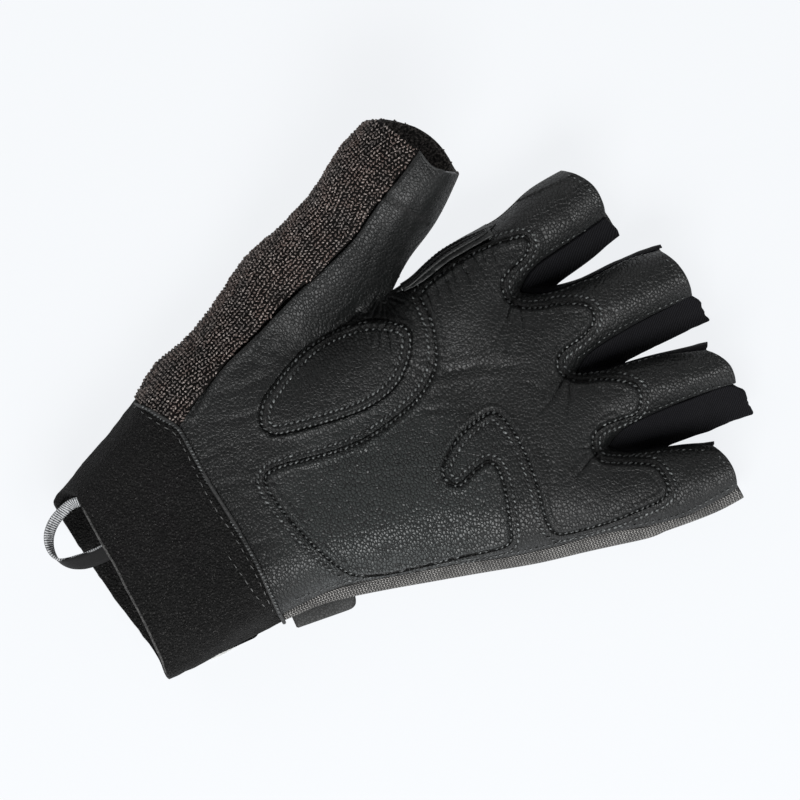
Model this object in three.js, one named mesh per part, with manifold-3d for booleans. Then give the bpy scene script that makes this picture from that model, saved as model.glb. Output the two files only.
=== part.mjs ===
// A half-finger climbing glove for the left hand, lying on its back with the palm up.
// Leather palm and thumb front with two sewn-on second layers, knitted back and thumb,
// black stretch strips between the fingers, and a soft wrist band with a strap and a tape loop.
// Millimetres. X runs from the wrist to the fingertips, Y towards the thumb, Z up out of the palm.
import * as THREE from "three";
import { mergeVertices } from "three/addons/utils/BufferGeometryUtils.js";
import Module from "manifold-3d";

// Driving sizes of the hand.
const PALM_LENGTH = 100; // cuff seam to the finger crotches
const PALM_WIDTH = 92; // across the knuckles, at the leather's edges
const FINGER_LENGTH = 38; // crotch line to the end of the middle finger's stub
const THUMB_LENGTH = 35.5; // thumb crotch to the thumb's mouth
const THUMB_WIDTH = 31;
const THUMB_ANGLE = THREE.MathUtils.degToRad(33);
const THUMB_LIFT = 19; // how far the thumb's mouth stands off the surface
const FINGERTIP_LIFT = 2.5;

// Driving sizes of the section.
const SEAM_HEIGHT = 11.5; // the side seams above the surface
const WRIST_RISE = 14; // crown of the palm above its side seams, at the wrist
const PALM_RISE = 10.5;
const FINGER_RISE = 8;
const EDGE_ROLL = 15; // width over which the palm rolls down to its edges
const BACK_EDGE_HEIGHT = 4; // where the back panel turns under
const BACK_ROLL = 6;

// Walls and gaps.
const LEATHER = 1.2;
const PATCH_LEATHER = 0.9;
const KNIT = 1.6;
const BACK_KNIT = 1.2;
const STRETCH = 0.9;
const CUFF_WALL = 2.2;
const SEAM_GAP = 0.4;
const LAYER_GAP = 0.25;

// The wrist band.
const CUFF_LENGTH = 36; // seam to mouth, under the wrist
const CUFF_WIDTH = 59;
const CUFF_HEIGHT = 29;
const CUFF_CENTRE_Y = -5;
const CUFF_SETBACK = { palm: 3.4, back: 1.8 }; // how far each side of the mouth stops short
const CUFF_BACK_BOW = 4.1; // the back of the mouth bows out past the palm side
const BINDING_RADIUS = 0.75;

// The closure under the wrist.
const STRAP = { length: 50, width: 25, thickness: 1.7 };
const STRAP_PATCH = { length: 30, width: 19.5, thickness: 0.6, proud: 1.1, middle: -13, turn: 5.5 };
const TAB = { start: 3.6, length: 18.5, width: 15, thickness: 1.0, proud: 2.8, slant: 1.5 };
const LOOP_TAPE = { width: 4.6, thickness: 0.7 };
const CLOSURE_DEPTH = STRAP.thickness + STRAP_PATCH.thickness + 2 * SEAM_GAP;

// Mesh fineness.
const ROOT_ROWS = 11; // cuff seam to the thumb crotch
const KNUCKLE_ROWS = 6; // thumb crotch to the finger crotches
const FINGER_ROWS = 7;
const THUMB_ROWS = 7;
const CUFF_ROWS = 5;
const CROTCH_ROW = ROOT_ROWS + KNUCKLE_ROWS;
const TIP_ROW = CROTCH_ROW + FINGER_ROWS;
const THUMB_TIP_ROW = ROOT_ROWS + THUMB_ROWS;
// Columns crowd towards the edges, where the surface rolls over.
const FRONT_COLUMNS = [0, 0.13, 0.36, 0.64, 0.87, 1];
const BACK_COLUMNS = [0, 0.2, 0.5, 0.8, 1];
const THUMB_FRONT_COLUMNS = [0, 0.18, 0.42, 0.7, 1];
const THUMB_KNIT_COLUMNS = [0, 0.34, 0.62, 0.85, 1];
const THUMB_BACK_COLUMNS = [0, 0.14, 0.36, 0.64, 0.86, 1];
const WALL_COLUMNS = [0, 0.5, 1];
const STRIP_COLUMNS = [0, 0.33, 0.67, 1];

// Plan curves. Palm points are shares of the palm's length and width.
const palm = (along, across) => new THREE.Vector2(along * PALM_LENGTH, across * PALM_WIDTH);
// Finger points are shares of the finger's length past the crotch line, and of the palm's width.
const finger = (along, across) =>
  new THREE.Vector2(PALM_LENGTH + along * FINGER_LENGTH, across * PALM_WIDTH);
const thumbAxis = new THREE.Vector2(Math.cos(THUMB_ANGLE), Math.sin(THUMB_ANGLE));
const thumbAcross = new THREE.Vector2(-thumbAxis.y, thumbAxis.x);
const thumbCrotch = palm(0.65, 0.411);
// Thumb points are shares of the thumb's length and width, from its crotch.
const thumb = (along, across) =>
  thumbCrotch
    .clone()
    .addScaledVector(thumbAxis, along * THUMB_LENGTH)
    .addScaledVector(thumbAcross, across * THUMB_WIDTH);

// Where adjoining fingers part, on the palm side (front) and on the back.
const crotches = {
  front: [
    palm(1.018, -0.532),
    palm(1.01, -0.27),
    palm(1.01, -0.032),
    palm(0.962, 0.252),
    palm(0.978, 0.475),
  ],
  back: [
    palm(1.018, -0.572),
    palm(1.13, -0.342),
    palm(1.12, -0.066),
    palm(1.06, 0.226),
    palm(0.978, 0.463),
  ],
};

// The seams' lines from the wrist to the crotches, little finger first.
// They divide the palm into finger strips, and the first is the outer edge.
const palmLines = {
  front: [
    [palm(0.012, -0.332), palm(0.19, -0.326), palm(0.366, -0.368), palm(0.503, -0.404),
      palm(0.638, -0.447), palm(0.776, -0.478), palm(0.883, -0.494)],
    [palm(0.016, -0.165), palm(0.35, -0.2), palm(0.7, -0.248)],
    [palm(0.003, -0.02), palm(0.35, -0.02), palm(0.7, -0.028)],
    [palm(-0.014, 0.11), palm(0.35, 0.165), palm(0.7, 0.22)],
  ],
  back: [
    [palm(0.012, -0.352), palm(0.15, -0.358), palm(0.284, -0.388), palm(0.42, -0.425),
      palm(0.556, -0.462), palm(0.717, -0.507), palm(0.829, -0.529)],
    [palm(0.016, -0.165), palm(0.35, -0.2), palm(0.7, -0.26)],
    [palm(0.003, -0.02), palm(0.35, -0.02), palm(0.7, -0.034)],
    [palm(-0.014, 0.11), palm(0.35, 0.165), palm(0.7, 0.21)],
  ],
};
const thumbFoldLine = [palm(-0.022, 0.21), palm(0.2, 0.29), palm(0.45, 0.37)];
const knitSeamLine = [palm(-0.028, 0.3), palm(0.138, 0.402), palm(0.257, 0.448), palm(0.363, 0.496),
  palm(0.482, 0.541)];
const thumbEdgeLine = [palm(-0.11, 0.423), palm(-0.065, 0.462), palm(0.026, 0.511), palm(0.147, 0.562),
  palm(0.221, 0.603), palm(0.292, 0.655), palm(0.403, 0.695)];

// The free sides of each finger, from just past the crotch to the end, and how far the end bows out.
const fingers = [
  {
    name: "little",
    front: {
      low: [finger(0.32, -0.55), finger(0.55, -0.548), finger(0.75, -0.536)],
      high: [finger(0.095, -0.3), finger(0.285, -0.324), finger(0.49, -0.352), finger(0.713, -0.389)],
      bow: 1.8,
    },
    back: {
      low: [finger(0.26, -0.575), finger(0.58, -0.583), finger(0.78, -0.577)],
      high: [finger(0.55, -0.366), finger(0.72, -0.384)],
      bow: 0.5,
    },
  },
  {
    name: "ring",
    front: {
      low: [finger(0.095, -0.243), finger(0.305, -0.235), finger(0.76, -0.239), finger(1.045, -0.253)],
      high: [finger(0.095, -0.053), finger(0.342, -0.061), finger(0.63, -0.085), finger(0.942, -0.125)],
      bow: 2.2,
    },
    back: {
      low: [finger(0.62, -0.348), finger(1.065, -0.359)],
      high: [finger(0.62, -0.083), finger(0.95, -0.105)],
      bow: 0.8,
    },
  },
  {
    name: "middle",
    front: {
      low: [finger(0.09, -0.007), finger(0.216, 0.009), finger(0.587, 0.028), finger(1.015, 0.035)],
      high: [finger(-0.032, 0.228), finger(0.166, 0.213), finger(0.474, 0.207), finger(0.67, 0.215),
        finger(0.934, 0.198)],
      bow: 1.8,
    },
    back: {
      low: [finger(0.62, -0.06), finger(1.045, -0.054)],
      high: [finger(0.4, 0.216), finger(0.67, 0.224), finger(0.947, 0.208)],
      bow: 0.8,
    },
  },
  {
    name: "index",
    front: {
      low: [finger(-0.032, 0.284), finger(0.11, 0.309), finger(0.324, 0.324), finger(0.684, 0.354)],
      high: [finger(0.063, 0.487), finger(0.234, 0.516), finger(0.426, 0.527), finger(0.53, 0.53)],
      bow: 3.2,
    },
    back: {
      low: [finger(0.34, 0.24), finger(0.52, 0.257), finger(0.72, 0.287)],
      high: [finger(0.234, 0.5), finger(0.53, 0.515)],
      bow: 2.4,
    },
  },
];

// The free part of the thumb: inner edge, knit seam and outer edge.
const thumbFree = {
  front: {
    low: [thumb(0.265, 0.03), thumb(0.54, 0), thumb(0.77, 0.015), thumb(1, 0.06)],
    seam: [thumb(0.127, 0.516), thumb(0.485, 0.506), thumb(0.727, 0.468), thumb(0.98, 0.45)],
    high: [thumb(0.121, 1.068), thumb(0.352, 1.042), thumb(0.65, 1.063), thumb(0.893, 0.987), thumb(1, 0.99)],
    bow: -2.2,
  },
  back: {
    low: [thumb(0.27, 0.07), thumb(0.54, 0.06), thumb(1.02, 0.1)],
    high: [thumb(0.121, 0.96), thumb(0.352, 0.945), thumb(0.65, 0.955), thumb(1.02, 0.91)],
    bow: 4.6,
  },
};

// Soft forms of the palm: where, how wide and how high, in shares of the palm and of the palm's rise.
const forms = [
  { name: "heel of the hand", at: palm(0.36, -0.2), reach: [26, 13], rise: 0.26 },
  { name: "hollow of the palm", at: palm(0.64, 0.06), reach: [20, 15], rise: -0.3 },
  { name: "pads under the fingers", at: palm(0.9, -0.02), reach: [9, 34], rise: 0.12 },
  { name: "ball of the thumb", at: palm(0.3, 0.2), reach: [20, 9], rise: 0.14 },
];
// The crease where the thumb folds towards the palm, from the crotch to the wrist.
const creaseLine = [thumbCrotch, palm(0.49, 0.372), palm(0.33, 0.34), palm(0.22, 0.262)];
const CREASE_DEPTH = 7.5;
const CREASE_WIDTH = 5.5;

// Outlines of the second leather layers.
const palmPatchLine = [
  // ball of the thumb, from the index finger's edge down to the wrist
  [0.714, 0.36], [0.712, 0.325], [0.71, 0.262], [0.683, 0.174], [0.649, 0.126], [0.579, 0.08],
  [0.472, 0.048], [0.394, 0.038], [0.292, 0.048], [0.19, 0.066], [0.137, 0.062], [0.126, 0.02],
  [0.144, -0.07], [0.172, -0.164], [0.212, -0.26], [0.245, -0.306], [0.313, -0.338], [0.423, -0.364],
  [0.532, -0.386], [0.622, -0.406], [0.662, -0.402], [0.682, -0.349], [0.7, -0.275], [0.711, -0.205],
  // the hooked flex channel
  [0.695, -0.168], [0.652, -0.177], [0.597, -0.195], [0.571, -0.166], [0.577, -0.122], [0.64, -0.068],
  [0.708, -0.04], [0.766, -0.038], [0.792, -0.108], [0.797, -0.19], [0.793, -0.272], [0.781, -0.346],
  [0.776, -0.401], [0.787, -0.436], [0.832, -0.452], [0.93, -0.468], [1.027, -0.472], [1.081, -0.47],
  // round the crotches, little finger to index finger
  [1.109, -0.452], [1.109, -0.4], [1.088, -0.366], [1.02, -0.33], [0.974, -0.3], [0.966, -0.26],
  [0.982, -0.218], [1.02, -0.203], [1.075, -0.205], [1.112, -0.207], [1.136, -0.186], [1.144, -0.149],
  [1.12, -0.115], [1.071, -0.085], [1.004, -0.06], [0.974, -0.026], [0.97, 0.015], [0.998, 0.045],
  [1.062, 0.061], [1.104, 0.083], [1.118, 0.117], [1.096, 0.145], [1.042, 0.171], [1.004, 0.179],
  [0.949, 0.202], [0.917, 0.243], [0.924, 0.301], [0.958, 0.326], [1.01, 0.345], [1.034, 0.374],
  [1.021, 0.398],
].map(([along, across]) => palm(along, across));
const thumbPatchLine = [
  [0.56, 0.352], [0.618, 0.317], [0.641, 0.287], [0.636, 0.248], [0.605, 0.199], [0.565, 0.16],
  [0.507, 0.134], [0.43, 0.126], [0.328, 0.137], [0.243, 0.152], [0.196, 0.168], [0.18, 0.209],
  [0.207, 0.26], [0.253, 0.292], [0.3, 0.321], [0.36, 0.35], [0.42, 0.364], [0.49, 0.366],
].map(([along, across]) => palm(along, across));
const BINDING_WIDTH = 3.4; // the ridged edge between thumb and index finger
const BINDING_THICK = 1.1;

// The tape loop's path: shares of the cuff's length behind its mouth, its width and height, and its roll.
// It leaves the mouth on edge and turns over at the far corner, so that it comes back on its outer face.
const loopPath = [
  { behind: -0.19, across: 0.4, up: 0.66, roll: -60 },
  { behind: -0.08, across: 0.415, up: 0.6, roll: -60 },
  { behind: 0.05, across: 0.425, up: 0.53, roll: -60 },
  { behind: 0.14, across: 0.41, up: 0.48, roll: -60 },
  { behind: 0.225, across: 0.385, up: 0.45, roll: -60 },
  { behind: 0.295, across: 0.345, up: 0.44, roll: -62 },
  { behind: 0.333, across: 0.295, up: 0.43, roll: -70 },
  { behind: 0.335, across: 0.245, up: 0.43, roll: -82 },
  { behind: 0.31, across: 0.208, up: 0.44, roll: -98 },
  { behind: 0.255, across: 0.183, up: 0.47, roll: -122 },
  { behind: 0.17, across: 0.167, up: 0.53, roll: -148 },
  { behind: 0.08, across: 0.16, up: 0.62, roll: -163 },
  { behind: -0.04, across: 0.16, up: 0.74, roll: -174 },
  { behind: -0.17, across: 0.165, up: 0.845, roll: -180 },
];

const smooth = (t) => {
  const c = THREE.MathUtils.clamp(t, 0, 1);
  return c * c * (3 - 2 * c);
};
// A quarter circle: 0 at the edge, 1 once rolled over.
const roll = (t) => Math.sqrt(1 - (1 - THREE.MathUtils.clamp(t, 0, 1)) ** 2);

// Points evenly spaced on a smooth curve through the given ones.
function spaced(points, steps) {
  const curve = new THREE.SplineCurve(points);
  return curve.getSpacedPoints(steps);
}

// Every rail of one side (front or back), as one point for each row.
function railsOf(side) {
  const ends = crotches[side];
  const shared = palmLines[side].map((line, i) => spaced([...line, ends[i]], CROTCH_ROW));
  const free = thumbFree[side];
  const fold = spaced([...thumbFoldLine, thumbCrotch], ROOT_ROWS);
  const indexEdge = spaced(
    [thumbCrotch, palm(0.7, 0.418), palm(0.75, 0.437), palm(0.81, 0.455), palm(0.9, 0.466), ends[4]],
    KNUCKLE_ROWS,
  );
  shared.push([...fold, ...indexEdge.slice(1)]);
  const sides = fingers.map((f, i) => ({
    low: [...shared[i], ...spaced([ends[i], ...f[side].low], FINGER_ROWS).slice(1)],
    high: [...shared[i + 1], ...spaced([ends[i + 1], ...f[side].high], FINGER_ROWS).slice(1)],
    bow: f[side].bow,
  }));
  // The thumb's outer lines run from the wrist past the crotch's row without a kink.
  const through = (root, tail) => {
    const whole = new THREE.SplineCurve([...root, ...tail]);
    return whole.getSpacedPoints(THUMB_TIP_ROW);
  };
  const low = [...fold, ...spaced([thumbCrotch, ...free.low], THUMB_ROWS).slice(1)];
  const edge = side === "front" ? thumbEdgeLine : thumbEdgeLine.map((p) => p.clone().lerp(fold[5], 0.05));
  const high = through(edge, free.high);
  const seam = side === "front" ? through(knitSeamLine, free.seam) : null;
  return { sides, thumb: { low, high, seam, bow: free.bow } };
}
const front = railsOf("front");
const back = railsOf("back");

// The edges that the surface rolls down to, as lines of segments.
const edgesOf = (rails) => [
  rails.sides[0].low,
  ...[0, 1, 2].flatMap((i) => [
    rails.sides[i].high.slice(CROTCH_ROW),
    rails.sides[i + 1].low.slice(CROTCH_ROW),
  ]),
  rails.sides[3].high.slice(ROOT_ROWS),
  rails.thumb.low.slice(ROOT_ROWS),
  rails.thumb.high,
];
const frontEdges = edgesOf(front);
const backEdges = edgesOf(back);

function distanceToLine(p, line) {
  let best = Infinity;
  for (let i = 0; i + 1 < line.length; i++) {
    const a = line[i];
    const d = line[i + 1].clone().sub(a);
    const t = THREE.MathUtils.clamp(p.clone().sub(a).dot(d) / Math.max(d.lengthSq(), 1e-9), 0, 1);
    best = Math.min(best, p.distanceTo(a.clone().addScaledVector(d, t)));
  }
  return best;
}
const distanceTo = (p, lines) => Math.min(...lines.map((line) => distanceToLine(p, line)));

// How far the thumb and the fingertips stand off the surface.
const foldDirection = thumbCrotch.clone().sub(thumbFoldLine[0]).normalize();
const THUMB_REACH = thumbCrotch.length() * 0.45 + THUMB_LENGTH;
function lift(p) {
  const fromCrotch = p.clone().sub(thumbCrotch);
  const aside = foldDirection.cross(fromCrotch);
  const along = 1 + (fromCrotch.dot(thumbAxis) - THUMB_LENGTH) / THUMB_REACH;
  const thumbShare = smooth(aside / 15) * smooth(along);
  const tip = smooth((p.x - PALM_LENGTH * 0.95) / FINGER_LENGTH) * (p.y < thumbCrotch.y * 1.4 ? 1 : 0);
  return THUMB_LIFT * thumbShare + FINGERTIP_LIFT * tip;
}

// The back lies flat, and stands on the closure near the wrist.
const floorAt = (x) => CLOSURE_DEPTH * (1 - smooth((x - 10) / 45));

function frontHeight(p) {
  const edge = distanceTo(p, frontEdges);
  const wrist = 1 - smooth(p.x / (0.45 * PALM_LENGTH));
  const towardsFingers = smooth((p.x - 0.8 * PALM_LENGTH) / (0.3 * PALM_LENGTH));
  const rise = PALM_RISE + (WRIST_RISE - PALM_RISE) * wrist + (FINGER_RISE - PALM_RISE) * towardsFingers;
  const crown = roll(edge / EDGE_ROLL);
  let z = SEAM_HEIGHT + rise * crown;
  for (const f of forms) {
    const dx = (p.x - f.at.x) / f.reach[0];
    const dy = (p.y - f.at.y) / f.reach[1];
    z += f.rise * PALM_RISE * Math.exp(-dx * dx - dy * dy) * crown;
  }
  const crease = distanceToLine(p, creaseLine) / CREASE_WIDTH;
  const fade = smooth((p.x - creaseLine.at(-1).x) / (0.3 * PALM_LENGTH));
  z -= CREASE_DEPTH * Math.exp(-crease * crease) * fade * crown;
  return z + lift(p);
}
function backHeight(p) {
  const edge = distanceTo(p, backEdges);
  return floorAt(p.x) + BACK_EDGE_HEIGHT * (1 - roll(edge / BACK_ROLL)) + lift(p);
}
const onFront = (p) => new THREE.Vector3(p.x, p.y, frontHeight(p));
const onBack = (p) => new THREE.Vector3(p.x, p.y, backHeight(p));

// A grid of points between two rails. Near the tip row the columns bow out.
function strip(low, high, columns, place, { bow = 0, bowFrom = 0, rows = [0, low.length - 1] } = {}) {
  const grid = [];
  for (let j = rows[0]; j <= rows[1]; j++) {
    const span = high[j].clone().sub(low[j]);
    const ahead = new THREE.Vector2(span.y, -span.x).normalize();
    const share = bow ? Math.max(0, (j - bowFrom) / (low.length - 1 - bowFrom)) ** 2 : 0;
    grid.push(
      columns.map((v) => {
        const p = low[j].clone().addScaledVector(span, v);
        return place(p.addScaledVector(ahead, bow * share * 4 * v * (1 - v)));
      }),
    );
  }
  return grid;
}

// A wall from the front's edge to the back's edge, row by row, swelling outwards between them.
// The swelling fades out towards the crotch that the wall starts from.
function wall(frontRail, backRail, columns, swell, rows) {
  const grid = [];
  for (let j = rows[0]; j <= rows[1]; j++) {
    const top = onFront(frontRail[j]);
    const bottom = onBack(backRail[j]);
    const before = frontRail[Math.max(j - 1, 0)];
    const after = frontRail[Math.min(j + 1, frontRail.length - 1)];
    const along = after.clone().sub(before).normalize();
    const out = new THREE.Vector3(along.y, -along.x, 0);
    out.multiplyScalar(swell * (rows[0] > 0 ? smooth((j - rows[0]) / 4) : 1));
    grid.push(
      columns.map((v) => top.clone().lerp(bottom, v).addScaledVector(out, 4 * v * (1 - v))),
    );
  }
  return grid;
}

// Panels. Each is a set of grids that share points where they meet, with the side that faces out.
const UP = new THREE.Vector3(0, 0, 1);
const DOWN = new THREE.Vector3(0, 0, -1);
const LITTLE_SIDE = new THREE.Vector3(0, -1, 0);
const THUMB_SIDE = new THREE.Vector3(0, 1, 0);
const thumbOut = new THREE.Vector3(thumbAcross.x, thumbAcross.y, 0);
const thumbIn = thumbOut.clone().negate();
const FORWARD = new THREE.Vector3(1, 0, 0);

const fingerFronts = front.sides.map((f) => ({
  facing: UP,
  grid: strip(f.low, f.high, FRONT_COLUMNS, onFront, { bow: f.bow, bowFrom: CROTCH_ROW }),
}));
const fingerBacks = back.sides.map((f) => ({
  facing: DOWN,
  grid: strip(f.low, f.high, BACK_COLUMNS, onBack, { bow: f.bow, bowFrom: CROTCH_ROW }),
}));
const thumbBow = { bow: front.thumb.bow, bowFrom: ROOT_ROWS };
const thumbFront = {
  facing: UP,
  grid: strip(front.thumb.low, front.thumb.seam, THUMB_FRONT_COLUMNS, onFront, thumbBow),
};
const thumbSide = {
  facing: UP,
  grid: strip(front.thumb.seam, front.thumb.high, THUMB_KNIT_COLUMNS, onFront, {}),
};
const thumbBack = {
  facing: DOWN,
  grid: strip(back.thumb.low, back.thumb.high, THUMB_BACK_COLUMNS, onBack, {
    bow: back.thumb.bow,
    bowFrom: ROOT_ROWS,
  }),
};
const littleWall = {
  facing: LITTLE_SIDE,
  grid: wall(front.sides[0].low, back.sides[0].low, WALL_COLUMNS, 0.9, [0, TIP_ROW]),
};
const indexWall = {
  facing: THUMB_SIDE,
  grid: wall(front.sides[3].high, back.sides[3].high, WALL_COLUMNS, -0.9, [ROOT_ROWS, TIP_ROW]),
};
const thumbOuterWall = {
  facing: thumbOut,
  grid: wall(front.thumb.high, back.thumb.high, WALL_COLUMNS, -1.2, [0, THUMB_TIP_ROW]),
};
const thumbInnerWall = {
  facing: thumbIn,
  grid: wall(front.thumb.low, back.thumb.low, WALL_COLUMNS, 0.9, [ROOT_ROWS, THUMB_TIP_ROW]),
};
// Each strip between two fingers runs down one finger, round the crotch and out along the next.
const betweenFingers = [1, 2, 3].map((i) => {
  const rows = [CROTCH_ROW, TIP_ROW];
  const down = wall(front.sides[i].low, back.sides[i].low, STRIP_COLUMNS, 0.7, rows).reverse();
  const out = wall(front.sides[i - 1].high, back.sides[i - 1].high, STRIP_COLUMNS, -0.5, rows);
  const turn = down.at(-1).map((p, k) => p.clone().lerp(out[0][k], 0.5));
  return { facing: FORWARD, test: FINGER_ROWS, grid: [...down.slice(0, -1), turn, ...out.slice(1)] };
});

// The cuff runs from the ring of points along the seam to its mouth.
const firstRow = (panel) => panel.grid[0];
const seamRing = [
  ...[0, 1, 2, 3].flatMap((i) => firstRow(fingerFronts[i]).slice(0, -1)),
  ...firstRow(thumbFront).slice(0, -1),
  ...firstRow(thumbSide).slice(0, -1),
  ...firstRow(thumbOuterWall).slice(0, -1),
  ...[...firstRow(thumbBack)].reverse().slice(0, -1),
  ...[3, 2, 1, 0].flatMap((i) => [...firstRow(fingerBacks[i])].reverse().slice(0, -1)),
  ...[...firstRow(littleWall)].reverse().slice(0, -1),
];
const FRONT_COUNT = 4 * (FRONT_COLUMNS.length - 1) + THUMB_FRONT_COLUMNS.length + THUMB_KNIT_COLUMNS.length - 2;
const WALL_COUNT = WALL_COLUMNS.length - 1;
const BACK_COUNT = seamRing.length - FRONT_COUNT - 2 * WALL_COUNT;
const MOUTH_SQUARENESS = 2.5;
const MOUTH_EDGE = 0.95; // where the front of the mouth ends, as a share of its half width
const CUFF_SKEW = 5; // the thumb side of the mouth stands out further

function mouthPoint(index) {
  const onTop = index <= FRONT_COUNT;
  const backIndex = index - FRONT_COUNT - WALL_COUNT;
  const onBottom = backIndex >= 0 && backIndex <= BACK_COUNT;
  const first = seamRing[0].y;
  const last = seamRing[FRONT_COUNT].y;
  let across;
  let up;
  if (onTop) {
    across = MOUTH_EDGE * (2 * (seamRing[index].y - first) / (last - first) - 1);
    up = 1;
  } else if (onBottom) {
    const from = seamRing[FRONT_COUNT + WALL_COUNT].y;
    const to = seamRing[(FRONT_COUNT + WALL_COUNT + BACK_COUNT) % seamRing.length].y;
    across = MOUTH_EDGE * (1 - 2 * (seamRing[index].y - from) / (to - from));
    up = -1;
  } else {
    across = index < seamRing.length / 2 + FRONT_COUNT / 4 && seamRing[index].y > 0 ? 1 : -1;
    up = 0;
  }
  const half = CUFF_HEIGHT / 2;
  const rim = (1 - Math.abs(across) ** MOUTH_SQUARENESS) ** (1 / MOUTH_SQUARENESS);
  const z = CLOSURE_DEPTH + half + up * half * rim;
  const y = CUFF_CENTRE_Y + (across * CUFF_WIDTH) / 2;
  const skew = CUFF_SKEW * smooth((across + 0.4) / 1.4);
  const far = (1 - up) / 2;
  const setback = THREE.MathUtils.lerp(CUFF_SETBACK.palm, CUFF_SETBACK.back, far);
  const bow = CUFF_BACK_BOW * far * smooth((across + 0.9) / 0.9);
  const x = -CUFF_LENGTH + setback - skew * (0.6 + 0.4 * far) - bow;
  return new THREE.Vector3(x, y, z);
}
const cuffGrid = [];
for (let j = 0; j <= CUFF_ROWS; j++) {
  const t = j / CUFF_ROWS;
  const row = seamRing.map((p, i) => {
    const q = p.clone().lerp(mouthPoint(i), t);
    const level = THREE.MathUtils.lerp(p.z, mouthPoint(i).z, smooth(t));
    return q.setZ(Math.max(level, q.z * 0.5 + level * 0.5));
  });
  cuffGrid.push([...row, row[0].clone()]);
}
const cuffTube = { facing: UP, test: 2, column: 8, grid: cuffGrid };

// Points that several panels share get one normal, so that the panels' rims meet in a mitre.
const keyOf = (p) => `${Math.round(p.x * 500)},${Math.round(p.y * 500)},${Math.round(p.z * 500)}`;
const sharedNormals = new Map();

function meshOf(panels) {
  const points = [];
  const index = new Map();
  const quads = [];
  const vertex = (p) => {
    const key = keyOf(p);
    if (!index.has(key)) {
      index.set(key, points.length);
      points.push(p.clone());
    }
    return index.get(key);
  };
  for (const panel of panels) {
    const { grid } = panel;
    const r = panel.test ?? Math.floor((grid.length - 1) / 2);
    const c = panel.column ?? Math.floor((grid[0].length - 1) / 2);
    const normal = grid[r + 1][c]
      .clone()
      .sub(grid[r][c])
      .cross(grid[r + 1][c + 1].clone().sub(grid[r][c]));
    const flip = normal.dot(panel.facing) < 0;
    for (let j = 0; j + 1 < grid.length; j++) {
      for (let k = 0; k + 1 < grid[j].length; k++) {
        const corners = [grid[j][k], grid[j + 1][k], grid[j + 1][k + 1], grid[j][k + 1]].map(vertex);
        quads.push(flip ? corners.reverse() : corners);
      }
    }
  }
  const triangles = quads.flatMap(([a, b, c, d]) => [[a, b, c], [a, c, d]])
    .filter(([a, b, c]) => a !== b && b !== c && a !== c);
  return { points, triangles };
}
const faceNormal = ({ points }, [a, b, c]) =>
  points[b].clone().sub(points[a]).cross(points[c].clone().sub(points[a]));

function addNormals(mesh) {
  for (const t of mesh.triangles) {
    const n = faceNormal(mesh, t).normalize();
    t.forEach((v, i) => {
      const key = keyOf(mesh.points[v]);
      const e1 = mesh.points[t[(i + 1) % 3]].clone().sub(mesh.points[v]);
      const e2 = mesh.points[t[(i + 2) % 3]].clone().sub(mesh.points[v]);
      const entry = sharedNormals.get(key) ?? { sum: new THREE.Vector3(), faces: [] };
      entry.sum.addScaledVector(n, e1.angleTo(e2));
      entry.faces.push(n);
      sharedNormals.set(key, entry);
    });
  }
}

const MITRE_LIMIT = 1.6;
function normalAt(p) {
  const { sum, faces } = sharedNormals.get(keyOf(p));
  const n = sum.clone().normalize();
  const least = Math.min(...faces.map((f) => f.dot(n)));
  return n.multiplyScalar(Math.min(1 / Math.max(least, 0.3), MITRE_LIMIT));
}

// A closed wall between two offsets of a panel's surface, drawn back from its edges by half a seam gap.
function thicken(mesh, outer, inner, inset = SEAM_GAP / 2) {
  const { points, triangles } = mesh;
  const edgeUse = new Map();
  for (const t of triangles) {
    for (let i = 0; i < 3; i++) edgeUse.set(`${t[i]}_${t[(i + 1) % 3]}`, t);
  }
  const rim = [...edgeUse.keys()].map((k) => k.split("_").map(Number))
    .filter(([a, b]) => !edgeUse.has(`${b}_${a}`));
  const drawn = points.map(() => new THREE.Vector3());
  for (const [a, b] of rim) {
    const n = faceNormal(mesh, edgeUse.get(`${a}_${b}`)).normalize();
    const inward = n.cross(points[b].clone().sub(points[a])).normalize();
    drawn[a].add(inward);
    drawn[b].add(inward);
  }
  const place = (offset) => points.map((p, i) => {
    const q = p.clone().addScaledVector(normalAt(p), offset);
    if (drawn[i].lengthSq() > 0) q.addScaledVector(drawn[i].clone().normalize(), inset * 1.1);
    return q;
  });
  const all = [...place(outer), ...place(inner)];
  const n = points.length;
  const faces = [
    ...triangles,
    ...triangles.map(([a, b, c]) => [a + n, c + n, b + n]),
    ...rim.flatMap(([a, b]) => [[b, a, a + n], [b, a + n, b + n]]),
  ];
  return geometryOf(all, faces);
}

function geometryOf(points, faces) {
  return new THREE.BufferGeometry()
    .setAttribute("position", new THREE.Float32BufferAttribute(points.flatMap((p) => p.toArray()), 3))
    .setIndex(faces.flat());
}

// A closed solid through rings of as many points, capped at both ends unless it closes on itself.
function loft(rings, closed = false) {
  const size = rings[0].length;
  const count = closed ? rings.length : rings.length - 1;
  const faces = [];
  for (let j = 0; j < count; j++) {
    const next = ((j + 1) % rings.length) * size;
    for (let k = 0; k < size; k++) {
      const l = (k + 1) % size;
      faces.push([j * size + k, next + k, next + l], [j * size + k, next + l, j * size + l]);
    }
  }
  if (!closed) {
    const last = (rings.length - 1) * size;
    for (let k = 1; k + 1 < size; k++) faces.push([0, k, k + 1], [last, last + k + 1, last + k]);
  }
  return geometryOf(rings.flat(), faces);
}

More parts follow.
